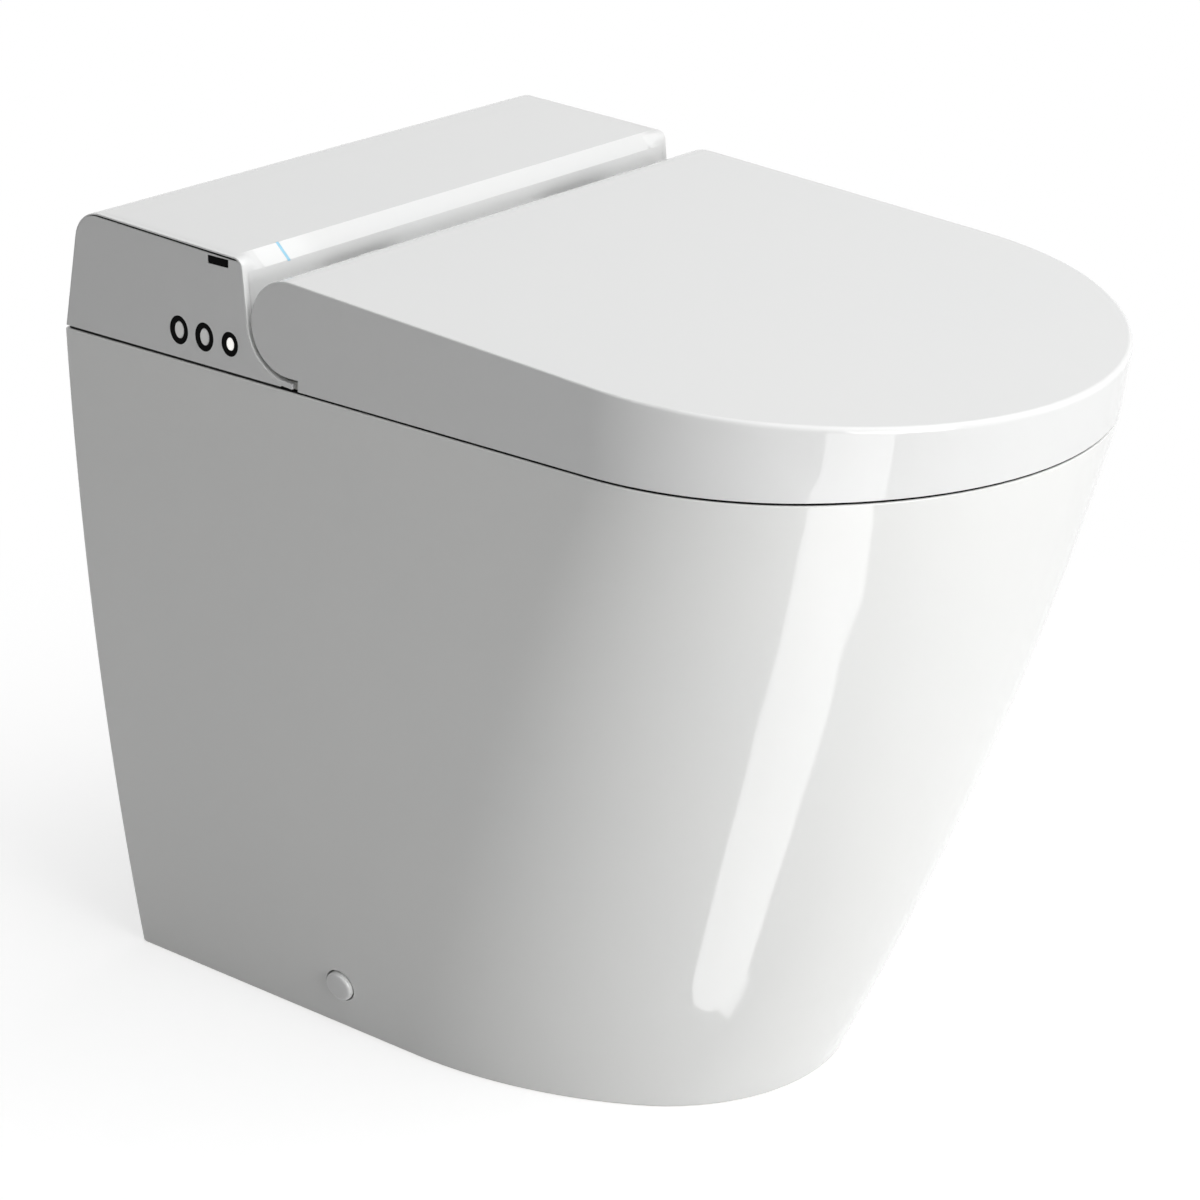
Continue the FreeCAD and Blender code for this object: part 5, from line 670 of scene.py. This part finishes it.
# White satin polypropylene: soft white with a blurred highlight.
white_pp = finish("white_satin_polypropylene", "#ECECEA", "#E4E4E2", 12.0, 0.26, 0.08, 0.9, 0.008,
                  **{"IOR": 1.49})
dressed("wand_cradle", "pan", grey_pom, "grey_moulding", edge=0.2)
dressed("wand_motor", "pan", zinc_steel, "steel", edge=0.3)
dressed("drive_pinion", "pinion", grey_pom, "grey_moulding")
dressed("wand_rack", "wand", grey_pom, "grey_moulding")
dressed("wash_wand", "wand", white_pp, "works_plastic")
dressed("spray_head", "wand", white_pp, "works_plastic", edge=0.2)

# Hinge: a steel pin each side goes through the post, the seat's lug and the lid's lug, into a rotary
# damper that lets both down slowly.
dressed("soft_close_damper_left", "pan", black_pa, "dark_works", edge=0.3)
dressed("soft_close_damper_right", "pan", black_pa, "dark_works", edge=0.3)
dressed("hinge_pins", "pan", zinc_steel, "steel", edge=0.3)
dressed("seat_hinge_bushes", "seat", grey_pom, "grey_moulding")

# Seat: two polypropylene mouldings welded over a heater foil, with four rubber buffers under it that
# rest on the china.

# Gloss white polypropylene: white, with a slightly broad highlight.
seat_pp = finish("gloss_white_polypropylene", "#F0F0EE", "#ECECEA", 90.0, 0.14, 0.05, 2.5, 0.006,
                 **{"IOR": 1.49})
# Embossed aluminium foil: pale metal, dimpled, that breaks up what it mirrors.
heater_foil = finish("embossed_aluminium_foil", "#C9CBCD", "#BDBFC2", 6.0, 0.25, 0.15, 1.5, 0.08,
                     **{"Metallic": 1.0})
# Soft white rubber: matt, a little greyer than what it is fixed to.
soft_tpe = finish("soft_white_rubber", "#C9C9C6", "#BFBFBC", 6.0, 0.62, 0.10, 0.7, 0.03)
SEAT_PAD_FOOT = 405.3
SEAT_PADS = ((-100.0, 470.0), (100.0, 470.0), (-160.0, 300.0), (160.0, 300.0))
SEAT_PAD = [(0.0, 0.0), (5.6, 0.0), (6.9, 0.3), (7.7, 0.9), (8.0, 1.8), (8.0, 4.9), (7.6, 5.5), (0.0, 5.65)]
dressed("seat_bottom", "seat", seat_pp, "seat_plastic")
dressed("seat_heater", "seat", heater_foil, "heater_foil")
dressed("seat_top", "seat", seat_pp, "seat_plastic")
pads_tree, given = tree_with("set_out_on_points", Piece="NodeSocketObject", Finish="NodeSocketMaterial")
pad_model = add(pads_tree, "GeometryNodeObjectInfo", {"Object": (given, "Piece")},
                transform_space="ORIGINAL")
pad_set = add(pads_tree, "GeometryNodeInstanceOnPoints",
              {"Points": (given, "Geometry"), "Instance": (pad_model, "Geometry")})
pads_real = add(pads_tree, "GeometryNodeRealizeInstances", {"Geometry": (pad_set, "Instances")})
pads_coat = add(pads_tree, "GeometryNodeSetMaterial",
                {"Geometry": (pads_real, "Geometry"), "Material": (given, "Finish")})
add(pads_tree, "NodeGroupOutput", {"Geometry": (pads_coat, "Geometry")})


def pads(name, places, level, profile, material):
    """Rubber buffers of one model, set out at their places."""
    model = turned(name + "_model", profile, (0.0, REAR, 0.0), (0.0, 0.0, 1.0), material)
    points = bpy.data.meshes.new(name + "_places")
    points.from_pydata([(x / 1000, (REAR - s) / 1000, level / 1000) for x, s in places], [], [])
    made = shaped(name, points, pads_tree, material, Piece=model, Finish=material)
    bpy.data.objects.remove(model)
    return made


seat_buffers = pads("seat_buffer_set", SEAT_PADS, SEAT_PAD_FOOT, SEAT_PAD, soft_tpe)
fitted(eased(seat_buffers, 50.0), "seat", "soft_rubber", "seat_buffers")

# Lid: one white moulding, its skirt lapping the seat down to the china and its rear edge rolled round
# the hinge. It is crisp along the sides and softer round the front.
HINGE_S = 166.0
HINGE_Z = 440.5
BARREL = 26.5
LID_SLOPE = math.radians(3.6)
LID_WALL = 3.5
LID_LOW = 408.0
LID_HIGH = 444.0
LID_STEP = 6.4
LID_LEAN = 0.114
LID_HALF, LID_FRONT, LID_ARCH, LID_SIDE_RADIUS = SECTIONS[2]
LID_REAR = 137.0
LID_CORNER = 0.5
LID_EASE = 0.4
ROOM_EASE = 0.1
WALL_STEPS = 7
WALL_FLAT = 1.0
SIDE_ROUND = 0.9
FRONT_ROUND = 3.2
ROUND_FROM = 330.0
ROUND_RUN = 170.0
END_STEPS = 4
BARREL_STEPS = 40
EDGE_STEPS = 6
SLAB_REAR = 200.0
SLAB_FRONT = 580.0
SLAB_TOP = 540.0
SLAB_DROP = 10.0
SLAB_INSET = 0.01
NOTCH_X = (68.0, 128.8)
NOTCH_S = (137.0, 182.5)
NOTCH_Z = (398.0, 457.5)
WEB_X = (108.8, 123.8)
WEB_S = (156.0, 176.0)
WEB_TOP = 465.2
HUB_RADIUS = 12.0
HUB_LENGTH = 15.0
BORE_RADIUS = 5.08
BORE_FROM = 108.0
BORE_LENGTH = 16.5
BOSS_RADIUS = 9.0
BOSS_FOOT = 437.3
LID_PADS = ((-90.0, 485.0), (90.0, 485.0), (-145.0, 345.0), (145.0, 345.0))
LID_PAD = [(0.0, 0.0), (6.2, 0.0), (7.4, 0.4), (8.0, 1.3), (8.0, 4.6), (7.7, 4.9), (0.0, 4.95)]
LID_PAD_FOOT = 432.35
# Glossy white ABS of the lid and cover: moulded in a polished tool, so that it mirrors the lamps sharply.
polished_abs = finish("polished_white_abs", "#EAEAE9", "#E7E8E8", 140.0, 0.035, 0.015, 30.0, 0.01,
                      **{"IOR": 1.53})


def lid_ceiling(setback, inset):
    """Height of the lid's sloping top, or of its underside, at a distance from the wall."""
    return HINGE_Z + (BARREL - inset) / math.cos(LID_SLOPE) - (setback - HINGE_S) * math.tan(LID_SLOPE)


def lid_plan(inset, front):
    """Plan of the lid, set in from its face."""
    return outline(LID_HALF - inset, front - inset, LID_ARCH, LID_SIDE_RADIUS - inset, LID_REAR, LID_CORNER)


def lid_point(k, z, inset):
    """A point of the lid's wall, which leans out a little towards the front."""
    ends = [lid_plan(inset, LID_FRONT + LID_LEAN * (level - RIM))[k] for level in (LID_LOW, LID_HIGH)]
    share = (z - LID_LOW) / (LID_HIGH - LID_LOW)
    return [ends[0][i] + (ends[1][i] - ends[0][i]) * share for i in (0, 1)]


def smooth(share):
    """A share from 0 to 1 that starts and ends level."""
    return share * share * (3.0 - 2.0 * share)


def lid_slab(inset, low):
    """The lid's side form from end to end, with its rear edge rolled round the hinge."""
    half = LID_HALF - inset - SLAB_INSET
    ends = [(half - SIDE_ROUND * (1 - math.cos(a)), SIDE_ROUND * (1 - math.sin(a)))
            for a in (math.pi / 2 * i / END_STEPS for i in range(END_STEPS + 1))]
    loops = []
    for x, draw in [(-x, draw) for x, draw in ends] + list(reversed(ends)):
        radius = BARREL - inset - draw
        step = HINGE_S + LID_STEP + inset + draw
        side = [(step, low - SLAB_DROP), (SLAB_FRONT, low - SLAB_DROP), (SLAB_FRONT, SLAB_TOP),
                (SLAB_REAR, SLAB_TOP)]
        side += [(HINGE_S + radius * math.sin(b), HINGE_Z + radius * math.cos(b))
                 for b in (LID_SLOPE - (LID_SLOPE + math.pi) * i / BARREL_STEPS
                           for i in range(BARREL_STEPS + 1))]
        side.append((step, HINGE_Z - radius))
        loops.append([(x, s, z) for s, z in side])
    return lofted("lid_slab", loops, polished_abs)


def lid_form(name, inset, low, ease):
    """The lid's solid set in by a wall: its plan, with a round top edge, and its side form in common."""
    count = len(lid_plan(0.0, LID_FRONT))
    rounds = []
    for k in range(count):
        run = min(max((lid_point(k, LID_HIGH, 0.0)[1] - ROUND_FROM) / ROUND_RUN, 0.0), 1.0)
        rounds.append(SIDE_ROUND + (FRONT_ROUND - SIDE_ROUND) * smooth(run))
    foot = low + ease + WALL_FLAT
    loops = [[(*lid_point(k, low + drop, inset + draw), low + drop) for k in range(count)]
             for drop, draw in ((0.0, ease), (ease * 0.3, ease * 0.3), (ease, 0.0), (ease + WALL_FLAT, 0.0))]
    for share in (i / WALL_STEPS for i in range(1, WALL_STEPS + 1)):
        loop = []
        for k in range(count):
            top = lid_ceiling(lid_point(k, LID_HIGH, inset)[1], inset) - rounds[k] - WALL_FLAT
            z = foot + (top - foot) * share
            loop.append((*lid_point(k, z, inset), z))
        loops.append(loop)
    for a in (math.pi / 2 * i / EDGE_STEPS for i in range(EDGE_STEPS + 1)):
        loop = []
        for k in range(count):
            draw = inset + rounds[k] * (1 - math.cos(a))
            sink = rounds[k] * (1 - math.sin(a))
            x, s = lid_point(k, lid_ceiling(lid_point(k, LID_HIGH, draw)[1], inset) - sink, draw)
            loop.append((x, s, lid_ceiling(s, inset) - sink))
        loops.append(loop)
    return worked(lofted(name, loops, polished_abs), lid_slab(inset, low), "INTERSECT")


lid = lid_form("lid_shell", 0.0, LID_LOW, LID_EASE)
lid_work = [("DIFFERENCE", lid_form("lid_room", LID_WALL, LID_LOW - SLAB_DROP, ROOM_EASE))]
for side in (-1, 1):
    notch_span = sorted((side * NOTCH_X[0], side * NOTCH_X[1]))
    web_span = sorted((side * WEB_X[0], side * WEB_X[1]))
    outward = (side, 0, 0)
    lid_work += [
        ("DIFFERENCE", block("lid_notch", notch_span, NOTCH_S, NOTCH_Z, polished_abs)),
        ("UNION", block("lid_web", web_span, WEB_S, (HINGE_Z, WEB_TOP), polished_abs)),
        ("UNION", rod("lid_hub", HUB_RADIUS, (side * WEB_X[0], HINGE_S, HINGE_Z), outward, HUB_LENGTH,
                      polished_abs)),
        ("DIFFERENCE", rod("lid_bore", BORE_RADIUS, (side * BORE_FROM, HINGE_S, HINGE_Z), outward,
                           BORE_LENGTH, polished_abs))]
for x, setback in LID_PADS:
    rise = lid_ceiling(setback, LID_WALL / 2) - BOSS_FOOT
    profile = [(0.0, 0.0), (BOSS_RADIUS, 0.0), (BOSS_RADIUS, rise), (0.0, rise)]
    boss = turned("lid_boss", profile, (x, setback, BOSS_FOOT), (0.0, 0.0, 1.0), polished_abs)
    lid_work.append(("UNION", boss))
for way, tool in lid_work:
    lid = worked(lid, tool, way)
fitted(eased(lid, 35.0), "lid", "white_shell", "lid")
lid_buffers = pads("lid_buffer_set", LID_PADS, LID_PAD_FOOT, LID_PAD, soft_tpe)
fitted(eased(lid_buffers, 50.0), "lid", "soft_rubber", "lid_buffers")

# Cover of the rear unit: a white moulding whose skin runs out over the end panels, which sit in its
# ends with a black strip along the top, painted shade in the shadow gap between panel and cover. It clips
# over the base plate.
COVER_BACK = 2.0
COVER_FOOT = 408.5
COVER_REAR_TOP = (13.0, 477.7)
COVER_FRONT_TOP = (133.1, 472.7)
REAR_ROUND = 18.0
REAR_STEPS = 10
CORNER_ROUND = 6.0
CORNER_STEPS = 8
CHANNEL = 29.0
CHANNEL_STEPS = 16
CHANNEL_END = (5.36, 28.5)
CHANNEL_SWEEP = math.atan2(CHANNEL_END[1], CHANNEL_END[0])
TOE = (168.7, 411.4)
TOE_STEPS = 6
SKIN = 0.9
TOE_SKIN = 2.8
SKIN_FROM = 188.2
SKIN_TO = 192.45
SKIN_EDGE = 0.4
SKIN_EDGE_MIDDLE = 0.12
FACET = 7.7
FACET_RUN = 13.0
FACET_STEPS = 8
FACET_DEPTH = 1.0
TRIM_SPAN = (189.2, 194.0)
TRIM_ABOVE = -4.0
PANEL_SHADOW_GAP = 1.1
DARK_STRIP_SPAN = (189.0, 191.7)
DARK_STRIP_OVERLAP = 0.05
DARK_STRIP_UNDERLAP = 0.1
# Shares of the full gap between panel and cover, where the black strip of painted shade sits, step by step
# from the rear round to the front corner.
SHADOW_GAP_SHARES = (0.2, 0.5, 0.8, 1.0, 1.0, 0.8, 0.6, 0.4, 0.2)
FIT = 0.05
WINDOW_S = (108.85, 123.75)
WINDOW_Z = (465.95, 470.6)
POCKET_X = (-194.0, -188.5)
# Black acrylic: moulded and left satin, so that it stays black under the white room.
black_acrylic = finish("satin_black_acrylic", "#040404", "#080808", 20.0, 0.45, 0.08, 1.0, 0.004,
                       **{"IOR": 1.49, "Specular IOR Level": 0.03})


def unit_path(inset):
    """Side outline of the rear unit, set in: up the back, over the top, down the channel to the toe."""
    rear = Vector((COVER_REAR_TOP[0] + inset, COVER_REAR_TOP[1] - inset))
    front = Vector((COVER_FRONT_TOP[0] - inset, COVER_FRONT_TOP[1] - inset))
    start = Vector((COVER_BACK + inset, COVER_FOOT))
    bend = Vector((HINGE_S - CHANNEL - inset, HINGE_Z))
    line = [start]
    for before, corner, after, radius, steps in (
            (start, rear, front, REAR_ROUND - inset, REAR_STEPS),
            (rear, front, bend, CORNER_ROUND - inset, CORNER_STEPS)):
        down = (before - corner).normalized()
        over = (after - corner).normalized()
        half = down.angle(over) / 2
        middle = corner + (down + over).normalized() * radius / math.sin(half)
        first = math.atan2(*reversed(corner + down * radius / math.tan(half) - middle))
        last = math.atan2(*reversed(corner + over * radius / math.tan(half) - middle))
        line += [middle + Vector((math.cos(a), math.sin(a))) * radius
                 for a in (first + (last - first) * i / steps for i in range(steps + 1))]
    line.append(bend)
    line += [Vector((HINGE_S - (CHANNEL + inset) * math.cos(a), HINGE_Z - (CHANNEL + inset) * math.sin(a)))
             for a in (CHANNEL_SWEEP * i / CHANNEL_STEPS for i in range(1, CHANNEL_STEPS + 1))]
    return line + [Vector((TOE[0], TOE[1] - inset))]


# Places along that outline: where the top starts and ends, the bend into the channel and the channel's end.
TOP_FIRST = REAR_STEPS + 1
TOP_LAST = TOP_FIRST + 1
BEND_AT = TOP_LAST + CORNER_STEPS + 1
FOOT_AT = BEND_AT + CHANNEL_STEPS
DARK_STRIP_FIRST = TOP_FIRST - SHADOW_GAP_SHARES.index(1.0)
DARK_STRIP_LAST = DARK_STRIP_FIRST + len(SHADOW_GAP_SHARES) - 1
skins = [SKIN] * len(unit_path(0.0))
gaps = [FIT] * len(skins)
for k, share in enumerate(SHADOW_GAP_SHARES, DARK_STRIP_FIRST):
    gaps[k] = PANEL_SHADOW_GAP * share
for k in range(FOOT_AT - TOE_STEPS + 1, len(skins)):
    skins[k] = SKIN + (TOE_SKIN - SKIN) * min((k - FOOT_AT + TOE_STEPS) / TOE_STEPS, 1.0)


def along_unit(name, rows, material, first=0, last=None):
    """A solid that follows the unit's side outline; each row gives its section as (x, inset) pairs."""
    loops = []
    for k in range(first, len(skins) if last is None else last + 1):
        loops.append([(x, *unit_path(inset)[k]) for x, inset in rows(k)])
    return lofted(name, loops, material)


front_top = Vector(COVER_FRONT_TOP)
facet_top = front_top + (Vector(COVER_REAR_TOP) - front_top).normalized() * FACET
facet_foot = front_top + (Vector((HINGE_S - CHANNEL, HINGE_Z)) - front_top).normalized() * FACET
round_line = [facet_top] + unit_path(0.0)[TOP_LAST:BEND_AT] + [facet_foot]
facet_way = (facet_foot - facet_top).normalized()
flat_line = [facet_top + facet_way * (p - facet_top).dot(facet_way) for p in round_line]
under_line = [p - Vector((FACET_DEPTH, FACET_DEPTH)) for p in (facet_foot, facet_top)]


def skin_section(side, k):
    """Section of the cover's skin where it laps an end panel, with a small round on its outer edge."""
    return [(side * SKIN_FROM, 0.0), (side * (SKIN_TO - SKIN_EDGE), 0.0),
            (side * (SKIN_TO - SKIN_EDGE_MIDDLE), SKIN_EDGE_MIDDLE), (side * SKIN_TO, SKIN_EDGE),
            (side * SKIN_TO, skins[k]), (side * SKIN_FROM, skins[k])]


def bar_section(side, span, top, under):
    """Section of a plain bar across a span, from one depth below the unit's outline to another."""
    return [(side * span[0], top), (side * span[1], top), (side * span[1], under), (side * span[0], under)]


skin_ends = []
for side in (-1, 1):
    skin_ends.append(along_unit("cover_skin_end", lambda k: skin_section(side, k), polished_abs))
    run_out = []
    for share in (i / FACET_STEPS for i in range(FACET_STEPS + 1)):
        rise = smooth(share)
        line = [flat.lerp(full, rise) for flat, full in zip(flat_line, round_line)] + under_line
        run_out.append([(side * (SKIN_FROM - FACET_RUN * (1.0 - share)), *p) for p in line])
    skin_ends.append(lofted("facet_end", run_out, polished_abs))
    hand = "right" if side < 0 else "left"
    trim = along_unit("panel_trim", lambda k: bar_section(side, TRIM_SPAN, TRIM_ABOVE, skins[k] + gaps[k]),
                      polished_abs)
    panel = worked(copied("end_panel_" + hand, polished_abs), trim, "DIFFERENCE")
    if side < 0:
        pocket = block("window_pocket", POCKET_X, (WINDOW_S[0] - FIT, WINDOW_S[1] + FIT),
                       (WINDOW_Z[0] - FIT, WINDOW_Z[1]), polished_abs)
        panel = worked(panel, pocket, "DIFFERENCE")
    fitted(eased(panel, 40.0), "pan", "white_shell", "end_panel_" + hand)
    # Black strip in the gap along the panel's top: painted shade standing in for the shadow in that gap.
    seal = along_unit("panel_seal_" + hand, lambda k: bar_section(
        side, DARK_STRIP_SPAN, skins[k] - DARK_STRIP_OVERLAP, skins[k] + gaps[k] + DARK_STRIP_UNDERLAP),
        black_acrylic, DARK_STRIP_FIRST, DARK_STRIP_LAST)
    fitted(eased(seal, 40.0), "pan", "black_trim")
cover = joined(copied("top_cover", polished_abs), *skin_ends)
fitted(eased(cover, 40.0), "pan", "white_shell", "top_cover")

# Status light: a slip of frosted blue plastic let into the slanting front edge of the cover, lit from
# the control board behind it.

# Frosted blue polycarbonate: pale blue, its light spread evenly.
light_pipe = finish("frosted_blue_polycarbonate", "#9FD4EC", "#8CCBE8", 8.0, 0.25, 0.08, 0.6, 0.004,
                    **{"IOR": 1.58})
dressed("status_light", "pan", light_pipe, "light_guide")

# Receiver window for the remote: a bar of black acrylic, slightly crowned, let into the right-hand
# panel under the black strip of painted shade.
WINDOW_BACK = -188.7
WINDOW_FACE = -192.4
WINDOW_EDGE = (0.3, 0.6)
# Distances in from each end of the bar, and how far it is drawn in there.
WINDOW_CROWN = ((0.0, 0.5), (0.5, 0.15), (1.5, 0.0))
stations = [(WINDOW_S[0] + run, draw) for run, draw in WINDOW_CROWN]
stations += [(WINDOW_S[1] - run, draw) for run, draw in reversed(WINDOW_CROWN)]
window_loops = []
for s, draw in stations:
    foot = WINDOW_Z[0] + draw
    face = WINDOW_FACE + draw
    window_loops.append([(WINDOW_BACK, s, foot), (face + WINDOW_EDGE[0], s, foot),
                         (face, s, foot + WINDOW_EDGE[1]), (face, s, WINDOW_Z[1]),
                         (WINDOW_BACK, s, WINDOW_Z[1])])
window = lofted("receiver_bar", window_loops, black_acrylic)
fitted(eased(window, 30.0), "pan", "black_trim", "receiver_window")

# Buttons in the right-hand panel: flush, wash and stop, each a cap in a black ring over the switch
# board. All three caps carry a painted glow, the third the strongest.

# Satin white ABS of the caps: white, with a faint painted glow (emission) that lifts it out of the shade so
# that it reads inside its black ring.
painted_glow_cap = finish("satin_white_abs_painted_glow", "#F4F4F2", "#EEEEEC", 12.0, 0.30, 0.08, 0.8, 0.01,
                   **{"IOR": 1.53, "Emission Color": linear(WHITE), "Emission Strength": 0.08})
# White polycarbonate of the stop button's cap, with a stronger painted glow (emission) that makes it read
# near white in the shade.
lit_cap = finish("white_polycarbonate_painted_glow", "#F6F6F4", "#F0F0EE", 12.0, 0.30, 0.08, 0.8, 0.01,
                 **{"IOR": 1.58, "Emission Color": linear("#FFFDF8"), "Emission Strength": 0.6})
dressed("button_board", "pan", green_board, "circuit_board")
dressed("button_rings", "pan", black_acrylic, "black_trim", edge=0.3)
dressed("flush_button", "flush_button", painted_glow_cap, "button_cap", edge=0.4)
dressed("wash_button", "wash_button", painted_glow_cap, "button_cap", edge=0.4)
dressed("stop_button", "stop_button", lit_cap, "lit_cap", edge=0.4)
